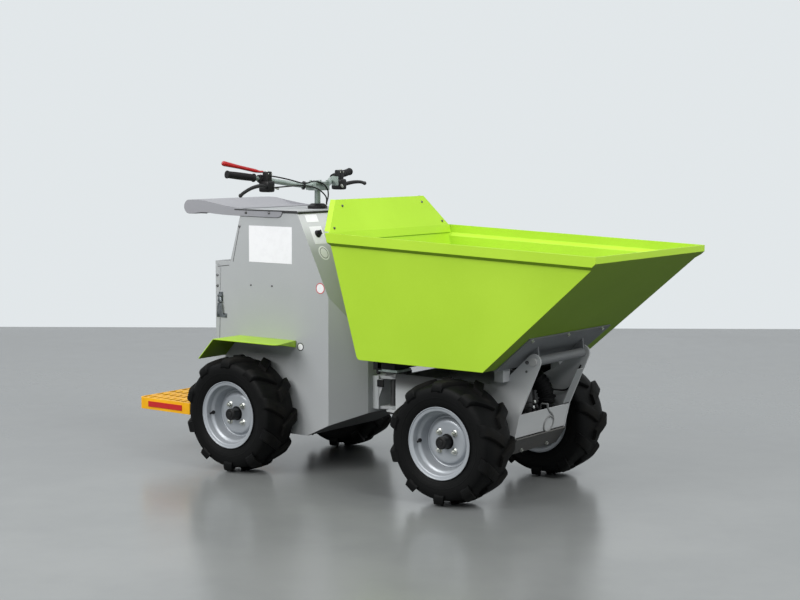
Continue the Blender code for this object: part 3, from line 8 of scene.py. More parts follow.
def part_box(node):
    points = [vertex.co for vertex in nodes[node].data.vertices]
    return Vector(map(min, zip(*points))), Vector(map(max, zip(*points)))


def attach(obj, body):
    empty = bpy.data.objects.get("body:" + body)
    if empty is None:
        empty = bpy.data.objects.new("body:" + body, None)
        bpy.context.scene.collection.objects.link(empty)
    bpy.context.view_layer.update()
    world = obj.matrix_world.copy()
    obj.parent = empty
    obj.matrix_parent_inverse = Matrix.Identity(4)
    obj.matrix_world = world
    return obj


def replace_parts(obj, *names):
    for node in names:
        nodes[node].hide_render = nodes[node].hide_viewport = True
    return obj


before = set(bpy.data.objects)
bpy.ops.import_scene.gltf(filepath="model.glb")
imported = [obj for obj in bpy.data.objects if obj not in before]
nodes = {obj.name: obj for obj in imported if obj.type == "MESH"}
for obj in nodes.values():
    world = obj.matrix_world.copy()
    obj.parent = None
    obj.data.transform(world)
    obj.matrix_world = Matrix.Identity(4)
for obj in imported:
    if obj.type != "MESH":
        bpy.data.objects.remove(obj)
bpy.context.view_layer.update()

# Places on the machine, in metres from the middle of its box
AXLES = {"front": 0.5265, "rear": -0.5535}
WHEEL_HALF_TRACK = 0.356
AXLE_HEIGHT = 0.245
BODY_SIDE = 0.24  # half width of the rear body
GRIP_START = (-0.5385, 0.283, 1.236)  # of the left grip, at the end of the bare bar
GRIP_END = (-0.5735, 0.415, 1.252)

HANDS = (("right", -1), ("left", 1))
SIDES = (-1, 1)
SUNK = 0.0004  # how deep the back of a thin label or line lies in the metal


# Shader fields

class Amount:
    """A number that varies over a surface."""

    def __init__(self, finish, socket):
        self.finish = finish
        self.socket = socket

    def maths(self, operation, *values):
        return self.finish.node("ShaderNodeMath", {"operation": operation}, dict(enumerate(values)))

    def __add__(self, other):
        return self.maths("ADD", self, other)

    def __sub__(self, other):
        return self.maths("SUBTRACT", self, other)

    def __rsub__(self, other):
        return self.maths("SUBTRACT", other, self)

    def __mul__(self, other):
        return self.maths("MULTIPLY", self, other)

    def __neg__(self):
        return self.maths("MULTIPLY", self, -1)

    def __abs__(self):
        return self.maths("ABSOLUTE", self)

    def wave(self):
        return self.maths("SINE", self)

    def lesser(self, other):
        return self.maths("MINIMUM", self, other)

    def between(self, low, high):
        """0 under low, 1 over high, smooth in the middle."""
        limits = {"Value": self, "From Min": low, "From Max": high}
        return self.finish.node("ShaderNodeMapRange", {"interpolation_type": "SMOOTHSTEP"}, limits)


class Finish:
    """One material, built of nodes round a Principled shader, and the slot of new pieces made of it."""

    slot = "grey_paint"

    def __init__(self, name, **constants):
        self.material = bpy.data.materials.new(name)
        self.material.use_nodes = True
        self.tree = self.material.node_tree
        self.tree.nodes.clear()
        self.shader = self.tree.nodes.new("ShaderNodeBsdfPrincipled")
        output = self.tree.nodes.new("ShaderNodeOutputMaterial")
        self.tree.links.new(self.shader.outputs["BSDF"], output.inputs["Surface"])
        for key, value in constants.items():
            title = key.replace("_", " ").title().replace("Ior", "IOR")
            self.shader.inputs[title].default_value = value
        self.place = self.node("ShaderNodeTexCoord", out="Object")

    def feed(self, socket, value):
        if isinstance(value, Amount):
            self.tree.links.new(value.socket, socket)
        elif socket.type == "RGBA":
            socket.default_value = (*value, 1)
        else:
            socket.default_value = value

    def node(self, kind, settings=None, inputs=None, out=0):
        made = self.tree.nodes.new(kind)
        for key, value in (settings or {}).items():
            setattr(made, key, value)
        for key, value in (inputs or {}).items():
            self.feed(made.inputs[key], value)
        return Amount(self, made.outputs[out])

    def noise(self, scale, detail=3, roughness=0.55, vector=None):
        return self.node("ShaderNodeTexNoise", {}, {
            "Vector": vector or self.place, "Scale": scale, "Detail": detail, "Roughness": roughness})

    def vector_maths(self, operation, *vectors, out=0):
        return self.node("ShaderNodeVectorMath", {"operation": operation}, dict(enumerate(vectors)), out)

    def stretched(self, x, y, z):
        return self.vector_maths("MULTIPLY", self.place, (x, y, z))

    def part_of_place(self, letter):
        return self.node("ShaderNodeSeparateXYZ", {}, {"Vector": self.place}, out=letter)

    def facing(self):
        return self.node("ShaderNodeNewGeometry", out="Normal")

    def part_of_facing(self, letter):
        return self.node("ShaderNodeSeparateXYZ", {}, {"Vector": self.facing()}, out=letter)

    def mix(self, share, first, second):
        """Colours: first where share is 0, second where it is 1."""
        return self.node("ShaderNodeMix", {"data_type": "RGBA", "clamp_factor": True},
                         {0: share, 6: first, 7: second}, out=2)

    def rounded_edges(self, radius):
        return self.node("ShaderNodeBevel", {"samples": 6}, {"Radius": radius})

    def edge_wear(self, radius, reach=0.35):
        """1 at the worn edges of the metal, 0 on its flats."""
        alike = self.vector_maths("DOT_PRODUCT", self.facing(), self.rounded_edges(radius), out="Value")
        return (1 - alike).between(0.02, reach)

    def colour(self, value):
        self.feed(self.shader.inputs["Base Color"], value)

    def rough(self, value):
        self.feed(self.shader.inputs["Roughness"], value)

    def metal(self, value):
        self.feed(self.shader.inputs["Metallic"], value)

    def bump(self, height, distance, strength=1.0, over=None):
        inputs = {"Height": height, "Distance": distance, "Strength": strength}
        if over is not None:
            inputs["Normal"] = over
        self.feed(self.shader.inputs["Normal"], self.node("ShaderNodeBump", {}, inputs))


# Finishes

ROAD_DUST = (0.42, 0.4, 0.36)
# colour of the painted shade under the skip
UNDER_SKIP_SHADE = (0.02, 0.018, 0.016)
# colour of painted shade on grey faces that look down
DOWNWARD_SHADE = (0.03, 0.031, 0.032)
SHEET_GREYS = ((0.385, 0.402, 0.415), (0.362, 0.38, 0.394), (0.56, 0.58, 0.6))


def powder_coat(name, base, deep, edge, dust_share, roughness, bevel=0.0022, coat=0.03,
                shade_under_skip=0, below=None, painted_light_ahead=None):
    """Sprayed and baked paint on sheet steel, with faint dust and its edges rubbed bright.

    soot is the share of painted shade under the skip, below the colour of painted shade on what faces down,
    and ahead the colour of painted light on what faces forward.
    """
    paint = Finish(name, coat_weight=coat, coat_roughness=0.22, specular_ior_level=0.35)
    cloud = paint.noise(2.2, 4)
    speckle = paint.noise(160, 2)
    rubs = paint.noise(26, 5, 0.7, paint.stretched(1, 1, 4))
    forward, up = paint.part_of_facing("X"), paint.part_of_facing("Z")
    along, height = paint.part_of_place("X"), paint.part_of_place("Z")
    settled = up.between(0.2, 0.95) * 0.5 + (1 - height.between(0.12, 0.55)) * 0.7
    dust = ((cloud.between(0.42, 0.7) * 0.5 + 0.5) * settled).lesser(1) * dust_share
    body = paint.mix(cloud.between(0.35, 0.66), deep, base)
    body = paint.mix(speckle.between(0.55, 0.8) * 0.1, body, edge)
    body = paint.mix(paint.edge_wear(bevel) * rubs.between(0.3, 0.62) * 0.55, body, edge)
    body = paint.mix(dust, body, ROAD_DUST)
    # painted light: faces that look forward turn lighter, more so high up
    if painted_light_ahead:
        painted_light_share = forward.between(0.6, 0.85) * (height.between(0.45, 0.95) * 0.8 + 0.2)
        body = paint.mix(painted_light_share, body, painted_light_ahead)
    # painted shade: a dark band on the frame above the wheels, under the skip
    if shade_under_skip:
        shade_band = height.between(0.375, 0.425) * (1 - along.between(0.5, 0.62))
        body = paint.mix(shade_band * (cloud * 0.4 + 0.7).lesser(1) * shade_under_skip, body, UNDER_SKIP_SHADE)
    # painted shade: faces that look down turn darker
    if below:
        body = paint.mix((-up).between(0.3, 0.62) * (cloud * 0.3 + 0.75).lesser(1), body, below)
    paint.colour(body)
    duller_below = 0.28
    paint.rough(rubs * 0.12 + roughness + duller_below + dust * 0.25 - up.between(-0.3, 0.0) * duller_below)
    paint.bump(paint.noise(420, 3, 0.6), 0.00012, 0.55, paint.rounded_edges(bevel))
    return paint


def cast_paint():
    paint = Finish("painted casting")
    lumps = paint.noise(90, 6, 0.75)
    grime = paint.noise(7, 4).between(0.45, 0.68)
    body = paint.mix(grime, (0.175, 0.18, 0.188), (0.06, 0.055, 0.05))
    paint.colour(paint.mix(paint.edge_wear(0.003) * 0.4, body, (0.36, 0.37, 0.38)))
    paint.rough(grime * 0.2 + lumps * 0.15 + 0.45)
    paint.bump(lumps, 0.0011, 0.8, paint.rounded_edges(0.003))
    return paint


def zinc_plate(name, bevel, bright, cast, roughness=0.2):
    """Zinc plate, cloudy between a bright and a cast colour."""
    plate = Finish(name)
    plate.slot = "bright_steel"
    cloud = plate.noise(30, 4)
    spots = plate.noise(240, 2)
    body = plate.mix(cloud.between(0.35, 0.65), bright, cast)
    plate.colour(plate.mix(spots.between(0.62, 0.78) * 0.35, body, tuple(channel * 0.6 for channel in cast)))
    plate.metal(1 - cloud.between(0.5, 0.8) * 0.2)
    plate.rough(cloud * 0.18 + roughness + spots * 0.06)
    plate.bump(spots, 0.0001, 0.5, plate.rounded_edges(bevel))
    return plate


def moulded_plastic(name, base, deep, roughness, grain_scale=620, bevel=0.0012, coat=0, shine=0.3):
    plastic = Finish(name, coat_weight=coat, coat_roughness=0.15, specular_ior_level=shine)
    cloud = plastic.noise(9, 3)
    grain = plastic.noise(grain_scale, 3, 0.65)
    scuffs = plastic.noise(55, 5, 0.75, plastic.stretched(1, 3, 1)).between(0.6, 0.78)
    body = plastic.mix(cloud.between(0.35, 0.65), deep, base)
    scuffed = tuple(min(1, channel * 1.5 + 0.012) for channel in base)
    plastic.colour(plastic.mix(scuffs * 0.16, body, scuffed))
    plastic.rough(grain * 0.1 + roughness + scuffs * 0.12)
    plastic.bump(grain, 0.00018, 0.7, plastic.rounded_edges(bevel))
    return plastic


def tyre_compound():
    """Black rubber, greyer on the tread, with the mould's rings on each side wall."""
    rubber = Finish("tyre compound", specular_ior_level=0.1)
    across = abs(rubber.part_of_place("Y"))
    outward = rubber.vector_maths("LENGTH", rubber.stretched(1, 0, 1), out="Value")
    cloud = rubber.noise(14, 5, 0.6)
    fine = rubber.noise(190, 4, 0.7)
    dust = outward.between(0.218, 0.24) * cloud.between(0.36, 0.66)
    body = rubber.mix(cloud, (0.0022, 0.0024, 0.0025), (0.0046, 0.0048, 0.005))
    rubber.colour(rubber.mix(dust * 0.22, body, (0.026, 0.024, 0.02)))
    rubber.rough(fine * 0.14 + 0.47 + dust * 0.22)
    wall = across.between(0.074, 0.082) * (1 - outward.between(0.205, 0.212))
    ringed = outward.between(0.15, 0.152) - outward.between(0.166, 0.168)
    rings = ((outward * 1400).wave() * 0.5 + 0.5) * ringed
    band = outward.between(0.1735, 0.1745) - outward.between(0.1765, 0.1775)
    rubber.bump(wall * (rings * 0.6 + band * 1.6) + fine * 0.35, 0.0011, 0.8)
    return rubber


def grip_rubber():
    rubber = Finish("grip rubber", specular_ior_level=0.22)
    fine = rubber.noise(500, 3, 0.7)
    rubber.colour(rubber.mix(rubber.noise(40, 4), (0.005, 0.005, 0.0055), (0.0095, 0.0095, 0.0105)))
    rubber.rough(fine * 0.16 + 0.5)
    rubber.bump(fine, 0.0002, 0.7, rubber.rounded_edges(0.001))
    return rubber


def reflector_lens():
    """Moulded prisms under a clear red face."""
    lens = Finish("red reflector", coat_weight=0.35, coat_roughness=0.06)
    cells = lens.node("ShaderNodeTexVoronoi", {"feature": "F1"},
                      {"Vector": lens.place, "Scale": 260, "Randomness": 0.0}, out="Distance")
    lens.colour(lens.mix(cells.between(0.05, 0.6), (0.8, 0.012, 0.008), (0.5, 0.004, 0.004)))
    lens.rough(cells * 0.2 + 0.12)
    lens.bump(cells, 0.0006, 0.7)
    return lens


def plain_label(name, base, roughness=0.4):
    label = Finish(name, coat_weight=0.5, coat_roughness=0.12)
    cloud = label.noise(35, 3)
    label.colour(label.mix(cloud.between(0.4, 0.7) * 0.35, base, tuple(channel * 0.9 for channel in base)))
    label.rough(cloud * 0.12 + roughness)
    label.bump(label.noise(300, 2), 0.00006, 0.5)
    return label


# lime, with painted shade on its faces that look down
lime = powder_coat(
    "lime powder coat", (0.4, 0.64, 0.034), (0.372, 0.602, 0.028), (0.58, 0.8, 0.14), 0.05, 0.36, coat=0.05,
    below=(0.15, 0.262, 0.006))
grey = powder_coat("grey powder coat", *SHEET_GREYS, 0.08, 0.44, below=DOWNWARD_SHADE)
# the rear body's grey, with painted light on its forward faces
body_grey = powder_coat(
    "body grey coat with painted light", *SHEET_GREYS, 0.08, 0.44, below=DOWNWARD_SHADE, painted_light_ahead=(0.53, 0.548, 0.562))
# lighter than the sheet greys as painted light on the frame's shaded front, plus a band of painted shade under the
# skip
frame_grey = powder_coat(
    "lightened frame paint with painted shade", (0.49, 0.508, 0.522), (0.455, 0.474, 0.488), (0.64, 0.66, 0.68), 0.1, 0.46, shade_under_skip=0.88)
hinge_grey = powder_coat(
    "shaded grey paint", (0.19, 0.2, 0.209), (0.16, 0.169, 0.178), (0.5, 0.52, 0.54), 0.1, 0.42)
# darker than the sheet greys: painted shade on the shelf's upward faces
shaded_shelf_paint = powder_coat(
    "shaded satin shelf paint", (0.285, 0.29, 0.315), (0.262, 0.268, 0.295), (0.46, 0.47, 0.49), 0.05, 0.5, coat=0)
dark = powder_coat(
    "black steel paint", (0.03, 0.031, 0.033), (0.022, 0.023, 0.025), (0.16, 0.16, 0.165), 0.16, 0.38, coat=0.25)
# pale paint on the metal pivot pin, standing in for its bright highlight: painted highlight
pin_highlight_paint = powder_coat(
    "pale pin paint as painted highlight", (0.47, 0.48, 0.485), (0.42, 0.43, 0.436), (0.62, 0.62, 0.62), 0.1, 0.34, coat=0.05)
silver = powder_coat(
    "silver wheel paint", (0.335, 0.362, 0.395), (0.3, 0.328, 0.362), (0.56, 0.6, 0.64), 0.1, 0.28,
    bevel=0.0012, coat=0.3)
silver.metal(0.25)
casting = cast_paint()

zinc = zinc_plate("zinc plated tube", 0.0034, (0.37, 0.42, 0.395), (0.26, 0.31, 0.285), 0.42)
bright_rod = zinc_plate("polished rod", 0.003, (0.52, 0.53, 0.54), (0.42, 0.43, 0.44))
fastener_zinc = zinc_plate("zinc fasteners", 0.0006, (0.6, 0.61, 0.59), (0.44, 0.45, 0.4))
dull_zinc = zinc_plate("dull zinc screws", 0.0006, (0.2, 0.2, 0.205), (0.11, 0.11, 0.11))
latch_steel = zinc_plate("latch steel", 0.0008, (0.3, 0.32, 0.33), (0.09, 0.1, 0.105))

black_plastic = moulded_plastic(
    "black moulded plastic", (0.0075, 0.0075, 0.008), (0.005, 0.005, 0.0055), 0.36, shine=0.28)
yellow_plastic = moulded_plastic(
    "yellow step plastic", (0.9, 0.475, 0.012), (0.82, 0.405, 0.008), 0.42, grain_scale=380, bevel=0.0018)
red_plastic = moulded_plastic(
    "red lever plastic", (0.34, 0.007, 0.009), (0.27, 0.005, 0.007), 0.22, grain_scale=700, bevel=0.0016,
    coat=0.25)
sooty_rubber = moulded_plastic(
    "sooty rubber", (0.0034, 0.0034, 0.0036), (0.0016, 0.0016, 0.0018), 0.52, grain_scale=300, shine=0.14)
tyre_rubber = tyre_compound()
soft_rubber = grip_rubber()
red_lens = reflector_lens()

white_label = plain_label("white plate", (0.82, 0.83, 0.86))
# whiter than the other white plates: painted light on the badge, which sits in shade on the lean
lightened_round_label = plain_label("round white plate painted lighter", (0.97, 0.98, 1.0))
red_label = plain_label("red ring", (0.55, 0.03, 0.04))
grey_wire = plain_label("grey wire cover", (0.21, 0.216, 0.218), 0.5)
seam_dark = plain_label("seam shadow", (0.055, 0.057, 0.06), 0.7)
black_gasket = plain_label("black seal", (0.012, 0.012, 0.013), 0.55)

silver.slot = "silver_paint"
tyre_rubber.slot = "tyre"
red_label.slot = "red_plastic"
soft_rubber.slot = sooty_rubber.slot = "rubber"
black_plastic.slot = black_gasket.slot = grey_wire.slot = "black_plastic"

WHEEL_SET = "{0}_front_right {0}_front_left {0}_rear_right {0}_rear_left"
for finish, names in (
    (lime, "skip splash_guard fender_right fender_left"),
    (body_grey, "rear_body"),
    (grey, "top_plate rear_door rear_shelf rear_hitch"),
    (frame_grey, "front_frame"),
    (hinge_grey, "hinge_plate"),
    (casting, "rear_axle front_axle"),
    (dark, "step_bracket hitch_pin front_skid actuator_barrel"),
    (pin_highlight_paint, "pivot_pin"),
    (bright_rod, "actuator_rod"),
    (zinc, "handlebar"),
    (silver, WHEEL_SET.format("rim")),
    (tyre_rubber, WHEEL_SET.format("tyre")),
    (black_plastic, WHEEL_SET.format("hub")),
    (black_plastic, "battery steering_flange cable_upper cable_lower brake_lever_right brake_lever_left"),
    (yellow_plastic, "step_tread"),
    (red_plastic, "drive_lever"),
    (red_lens, "reflector_right reflector_left"),
    (soft_rubber, "grip_right grip_left rest_bar rest_pad_right rest_pad_left"),
):
    for name in names.split():
        mesh = nodes[name].data
        mesh.materials.clear()
        mesh.materials.append(finish.material)


# Working shapes

def shown(name, data):
    """A new object in the scene."""
    made = bpy.data.objects.new(name, data)
    bpy.context.scene.collection.objects.link(made)
    return made


def piece(name, shape, finish, body, crease=35, where=None):
    """A new piece from a worked shape; it moves with the named body."""
    bmesh.ops.recalc_face_normals(shape, faces=shape.faces)
    mesh = bpy.data.meshes.new(name)
    shape.to_mesh(mesh)
    shape.free()
    mesh.materials.append(finish.material)
    for face in mesh.polygons:
        face.use_smooth = True
    mesh.set_sharp_from_angle(angle=radians(crease))
    made = shown(name, mesh)
    if where is not None:
        made.location = where
    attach(made, body)
    return made


def put(shape, before, where, axis):
    """Moves what was added since before: its +Z to the axis, its origin to where."""
    fresh = [vert for vert in shape.verts if vert not in before]
    turn = Vector((0, 0, 1)).rotation_difference(Vector(axis).normalized()).to_matrix().to_4x4()
    bmesh.ops.transform(shape, matrix=Matrix.Translation(where) @ turn, verts=fresh)


def ring_of(radius, height, sides, start=0):
    turns = [tau * k / sides + start for k in range(sides)]
    return [(radius * cos(turn), radius * sin(turn), height) for turn in turns]


def corners_at(shape, loops):
    return [[shape.verts.new(point) for point in loop] for loop in loops]


def joined(shape, first, second):
    count = len(first)
    for k in range(count):
        shape.faces.new((first[k], first[(k + 1) % count], second[(k + 1) % count], second[k]))


def closed(shape, loops):
    """A solid between loops of points, with a face over each end."""
    loops = corners_at(shape, loops)
    for low, high in zip(loops, loops[1:]):
        joined(shape, low, high)
    shape.faces.new(loops[0][::-1])
    shape.faces.new(loops[-1])


def closed_ring(shape, loops):
    """A solid between loops of points, with the last joined to the first."""
    loops = corners_at(shape, loops)
    for k, loop in enumerate(loops):
        joined(shape, loop, loops[(k + 1) % len(loops)])


def turned(shape, rings, sides, where, axis, start=0):
    """A round or many-sided stud from its (radius, height) rings, closed at both ends."""
    before = set(shape.verts)
    closed(shape, [ring_of(radius, height, sides, start) for radius, height in rings])
    put(shape, before, where, axis)


def hex_bolt(shape, where, axis, across, washer=True, stud=0):
    """Hexagon head or nut on a washer; across is the width over the flats."""
    where = Vector(where)
    corner = across / 2 / cos(pi / 6)
    base = 0
    if washer:
        turned(shape, [(corner * 1.28, -0.0006), (corner * 1.28, across * 0.1), (corner * 1.22, across * 0.13)],
               20, where, axis)
        base = across * 0.13
    tall = across * 0.62
    turned(shape, [(corner, base - 0.0002), (corner, base + tall * 0.84), (corner * 0.86, base + tall)], 6,
           where, axis, where.x * 9)
    if stud:
        turned(shape, [(across * 0.29, base), (across * 0.29, base + tall + stud * 0.8),
                       (across * 0.24, base + tall + stud)], 14, where, axis)


def dome_bolt(shape, where, axis, radius):
    """Round-headed bolt with a socket."""
    outline = ((1, None), (1, 0.25), (0.86, 0.55), (0.55, 0.72), (0.42, 0.72), (0.36, 0.3))
    turned(shape, [(radius * out, -0.0006 if up is None else radius * up) for out, up in outline],
           16, where, axis)


def plate(shape, low, high):
    """A box between two corners."""
    corners = [shape.verts.new([(low if k & bit else high)[part] for part, bit in enumerate((1, 2, 4))])
               for k in range(8)]
    for face in ((0, 1, 3, 2), (4, 6, 7, 5), (0, 4, 5, 1), (2, 3, 7, 6), (0, 2, 6, 4), (1, 5, 7, 3)):
        shape.faces.new([corners[k] for k in face])


def rounded_block(shape, one, other, bevel):
    """A box between two corners, with its edges rounded."""
    before = set(shape.verts)
    plate(shape, [min(pair) for pair in zip(one, other)], [max(pair) for pair in zip(one, other)])
    fresh = [vert for vert in shape.verts if vert not in before]
    edges = dict.fromkeys(edge for vert in fresh for edge in vert.link_edges)
    faces = dict.fromkeys(face for vert in fresh for face in vert.link_faces)
    bmesh.ops.recalc_face_normals(shape, faces=list(faces))
    bmesh.ops.bevel(shape, geom=list(edges), offset=bevel, segments=3, profile=0.6, affect="EDGES")


def slab(shape, outline, low_y, high_y):
    """A flat plate from an outline of (x, z) points, between two widths."""
    closed(shape, [[(x, y, z) for x, z in outline] for y in (low_y, high_y)])


def ribbon(shape, line, thickness, low_y, high_y):
    """A bent sheet along (x, z) points, between two widths."""
    loops = []
    for k, (x, z) in enumerate(line):
        before, after = line[max(k - 1, 0)], line[min(k + 1, len(line) - 1)]
        along = Vector((after[0] - before[0], after[1] - before[1])).normalized() * thickness / 2
        loops.append([(x - along.y * up, y, z + along.x * up)
                      for up, y in ((1, low_y), (1, high_y), (-1, high_y), (-1, low_y))])
    closed(shape, loops)


def smooth_path(points, steps=6):
    """Points on a smooth curve through the given ones."""
    points = [Vector(point) for point in points]
    ends = [points[0] * 2 - points[1], *points, points[-1] * 2 - points[-2]]
    path = []
    for before, start, end, after in zip(ends, ends[1:], ends[2:], ends[3:]):
        for k in range(steps):
            t = k / steps
            path.append(0.5 * ((2 * start) + (end - before) * t
                               + (2 * before - 5 * start + 4 * end - after) * t * t
                               + (3 * start - before - 3 * end + after) * t ** 3))
    path.append(points[-1])
    return path


def swept(shape, path, section):
    """A tube along the path; section gives its radius or (width, height) half sizes by share of the way."""
    path = [Vector(point) for point in path]
    sides = 14
    last = len(path) - 1
    loops = []
    for k, point in enumerate(path):
        along = (path[min(k + 1, last)] - path[max(k - 1, 0)]).normalized()
        across = along.cross(Vector((0, 0, 1)))
        if across.length < 0.05:
            across = along.cross(Vector((0, 1, 0)))
        across.normalize()
        over = across.cross(along).normalized()
        size = section(k / last)
        wide, tall = size if isinstance(size, tuple) else (size, size)
        turns = [tau * j / sides for j in range(sides)]
        loops.append([point + across * (wide * cos(turn)) + over * (tall * sin(turn)) for turn in turns])
    closed(shape, loops)


def wire(shape, points, radius):
    """A round wire on a smooth path through the points."""
    swept(shape, smooth_path(points), lambda share: radius)


def softened(points, steps=3):
    """A closed outline of (offset, radius, fillet) points, with each corner rounded by its fillet."""
    out = []
    for k, (offset, radius, fillet) in enumerate(points):
        here = Vector((offset, radius))
        if fillet <= 0:
            out.append(here)
            continue
        to_last = Vector(points[k - 1][:2]) - here
        to_next = Vector(points[(k + 1) % len(points)][:2]) - here
        reach = min(fillet, to_last.length * 0.48, to_next.length * 0.48)
        start = here + to_last.normalized() * reach
        end = here + to_next.normalized() * reach
        for j in range(steps + 1):
            t = j / steps
            out.append(start * (1 - t) ** 2 + here * 2 * t * (1 - t) + end * t * t)
    return out


def spun(shape, outline, steps, side=1):
    """The closed outline of (offset, radius) points turned round the Y axis."""
    loops = []
    for k in range(steps):
        angle = tau * k / steps
        loops.append([(radius * cos(angle), offset * side, radius * sin(angle)) for offset, radius in outline])
    closed_ring(shape, loops)


# Wheels

CARCASS = [  # (offset from the middle, radius, fillet) of half the tyre, from the crown to the bead and inside
    (0.0, 0.231, 0), (0.03, 0.2298, 0.008), (0.062, 0.225, 0.01), (0.0845, 0.218, 0.008),
    (0.0905, 0.204, 0.008), (0.092, 0.186, 0.01), (0.0895, 0.166, 0.01), (0.0825, 0.1475, 0.005),
    (0.08, 0.1425, 0.002), (0.0797, 0.1285, 0.002), (0.064, 0.1282, 0.002), (0.074, 0.205, 0.01),
]
LUG_LINE = [  # (offset, radius over the lug, radius of the carcass, lag behind the crown in degrees)
    (-0.004, 0.2448, 0.23, -0.6), (0.012, 0.245, 0.23, 1.9), (0.028, 0.2447, 0.229, 4.4),
    (0.044, 0.244, 0.227, 6.8), (0.06, 0.2428, 0.224, 9.2), (0.074, 0.241, 0.22, 11.2),
    (0.085, 0.238, 0.216, 12.7), (0.0915, 0.2325, 0.211, 13.6), (0.095, 0.2245, 0.206, 14.2),
    (0.0962, 0.215, 0.201, 14.7), (0.0955, 0.2055, 0.1985, 15.0),
]
LUGS = 10  # in each of the two rows
FIRST_LUG = 5.2  # turn of the first one, in degrees
LUG_FOOT = 5.8  # half width of a lug at its foot, in degrees
LUG_HEAD = 4.75
LUG_WIDENS = 0.16  # share by which it's wider at its outer end
WALL_STATION = 7  # where the lug has turned down the side wall


def lug(shape, column, side):
    """One bar of the tread, from the crown round the shoulder and down the side wall."""
    loops = []
    for k, (offset, top, foot, lag) in enumerate(LUG_LINE):
        inner = max(foot - 0.004, 0.17)
        wall = offset - 0.012 if k >= WALL_STATION else offset
        widen = 1 + LUG_WIDENS * (k / (len(LUG_LINE) - 1))
        half = ((LUG_FOOT, inner, wall), (LUG_FOOT * 0.97, (inner + top) / 2, offset),
                (LUG_HEAD, top - 0.001, offset), (LUG_HEAD * 0.88, top, offset))
        section = [(-turn, *rest) for turn, *rest in half] + list(half[::-1])
        row = []
        for turn, radius, across in section:
            angle = radians(column + lag + turn * widen)
            row.append((radius * sin(angle), across * side, -radius * cos(angle)))
        loops.append(row)
    closed(shape, loops)


def tyre(name, body, where):
    shape = bmesh.new()
    half = softened(CARCASS)
    spun(shape, half + [Vector((-offset, radius)) for offset, radius in half[::-1]][:-1], 120)
    for turn in range(LUGS):
        lug(shape, turn * 360 / LUGS + FIRST_LUG, 1)
        lug(shape, turn * 360 / LUGS + FIRST_LUG + 180 / LUGS, -1)
    return piece(name, shape, tyre_rubber, body, 40, where)


RIM = [  # (outboard of the tyre's middle, radius, fillet)
    (-0.087, 0.142, 0.001), (-0.08, 0.14, 0.003), (-0.08, 0.127, 0.003), (-0.045, 0.127, 0.006),
    (-0.033, 0.109, 0.006), (0.04, 0.109, 0.006), (0.052, 0.127, 0.006), (0.08, 0.127, 0.003),
    (0.08, 0.14, 0.003), (0.087, 0.142, 0.0012), (0.0872, 0.1384, 0.0012), (0.084, 0.1372, 0.003),
    (0.0825, 0.1236, 0.005), (0.056, 0.1225, 0.006), (0.05, 0.11, 0.005), (0.033, 0.106, 0.006),
    (0.015, 0.101, 0.005), (0.013, 0.093, 0.006), (0.027, 0.084, 0.006), (0.03, 0.074, 0.004),
    (0.03, 0.03, 0.001), (0.026, 0.03, 0.001), (0.023, 0.078, 0.004), (0.009, 0.09, 0.004),
    (0.009, 0.103, 0.003), (-0.037, 0.105, 0.006), (-0.049, 0.123, 0.006), (-0.084, 0.123, 0.003),
    (-0.085, 0.137, 0.002),
]
VALVE = [  # (radius, height)
    (0.008, -0.002), (0.008, 0.002), (0.0058, 0.006), (0.0046, 0.016), (0.0042, 0.024), (0.0046, 0.0245),
    (0.0046, 0.033), (0.0038, 0.0345),
]
STUD_CIRCLE = 0.05
RIM_FACE = 0.0302  # of the rim's disc, outboard of the tyre's middle
CAP_FACE = 0.0748


def rim(name, body, where, side):
    shape = bmesh.new()
    spun(shape, softened(RIM), 96, side)
    for step in (0.0, 0.003):  # weld beads inside the barrel
        spun(shape, [(0.015 + step, 0.0996), (0.0172 + step, 0.1022), (0.0194 + step, 0.0998)], 96, side)
    return piece(name, shape, silver, body, 32, where)


def wheel_fasteners(name, body, where, side):
    """Four nuts on the 100 mm circle."""
    shape = bmesh.new()
    out = (0, side, 0)
    for turn in (45, 135, 225, 315):
        angle = radians(turn)
        spot = Vector((STUD_CIRCLE * cos(angle), side * RIM_FACE, STUD_CIRCLE * sin(angle)))
        turned(shape, [(0.0135, -SUNK), (0.0135, 0.0012), (0.0105, 0.003)], 20, spot, out)
        hex_bolt(shape, spot + Vector((0, side * 0.0025, 0)), out, 0.017, False, 0.006)
    piece(name, shape, fastener_zinc, body, 30, where)


def valve(name, body, where, side):
    """Rubber valve stem in the slope of the rim, with its cap."""
    shape = bmesh.new()
    turned(shape, VALVE, 16, (-0.1135, side * 0.05, -0.004), (0.35, side * 0.94, 0))
    piece(name, shape, soft_rubber, body, 35, where)


def hub(name, body, where, side):
    """Screws and drain plug of the cap over the axle's end."""
    shape = bmesh.new()
    out = (0, side, 0)
    for turn in range(30, 360, 60):
        angle = radians(turn)
        dome_bolt(shape, (0.0175 * cos(angle), side * CAP_FACE, 0.0175 * sin(angle)), out, 0.0028)
    turned(shape, [(0.011, -0.0005), (0.011, 0.0016), (0.0098, 0.0026)], 24, (0, side * CAP_FACE, 0), out)
    piece(name, shape, black_plastic, body, 35, where)


for end, x in AXLES.items():
    for hand, side in HANDS:
        centre = Vector((x, side * WHEEL_HALF_TRACK, AXLE_HEIGHT))
        tag = f"{end}_{hand}"
        body = f"wheel_{tag}"
        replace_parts(tyre(f"lugged_tyre_{tag}", body, centre), f"tyre_{tag}")
        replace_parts(rim(f"pressed_rim_{tag}", body, centre, side), f"rim_{tag}")
        wheel_fasteners(f"wheel_nuts_{tag}", body, centre, side)
        valve(f"valve_stem_{tag}", body, centre, side)
        hub(f"cap_screws_{tag}", body, centre, side)


# Rear body's trim

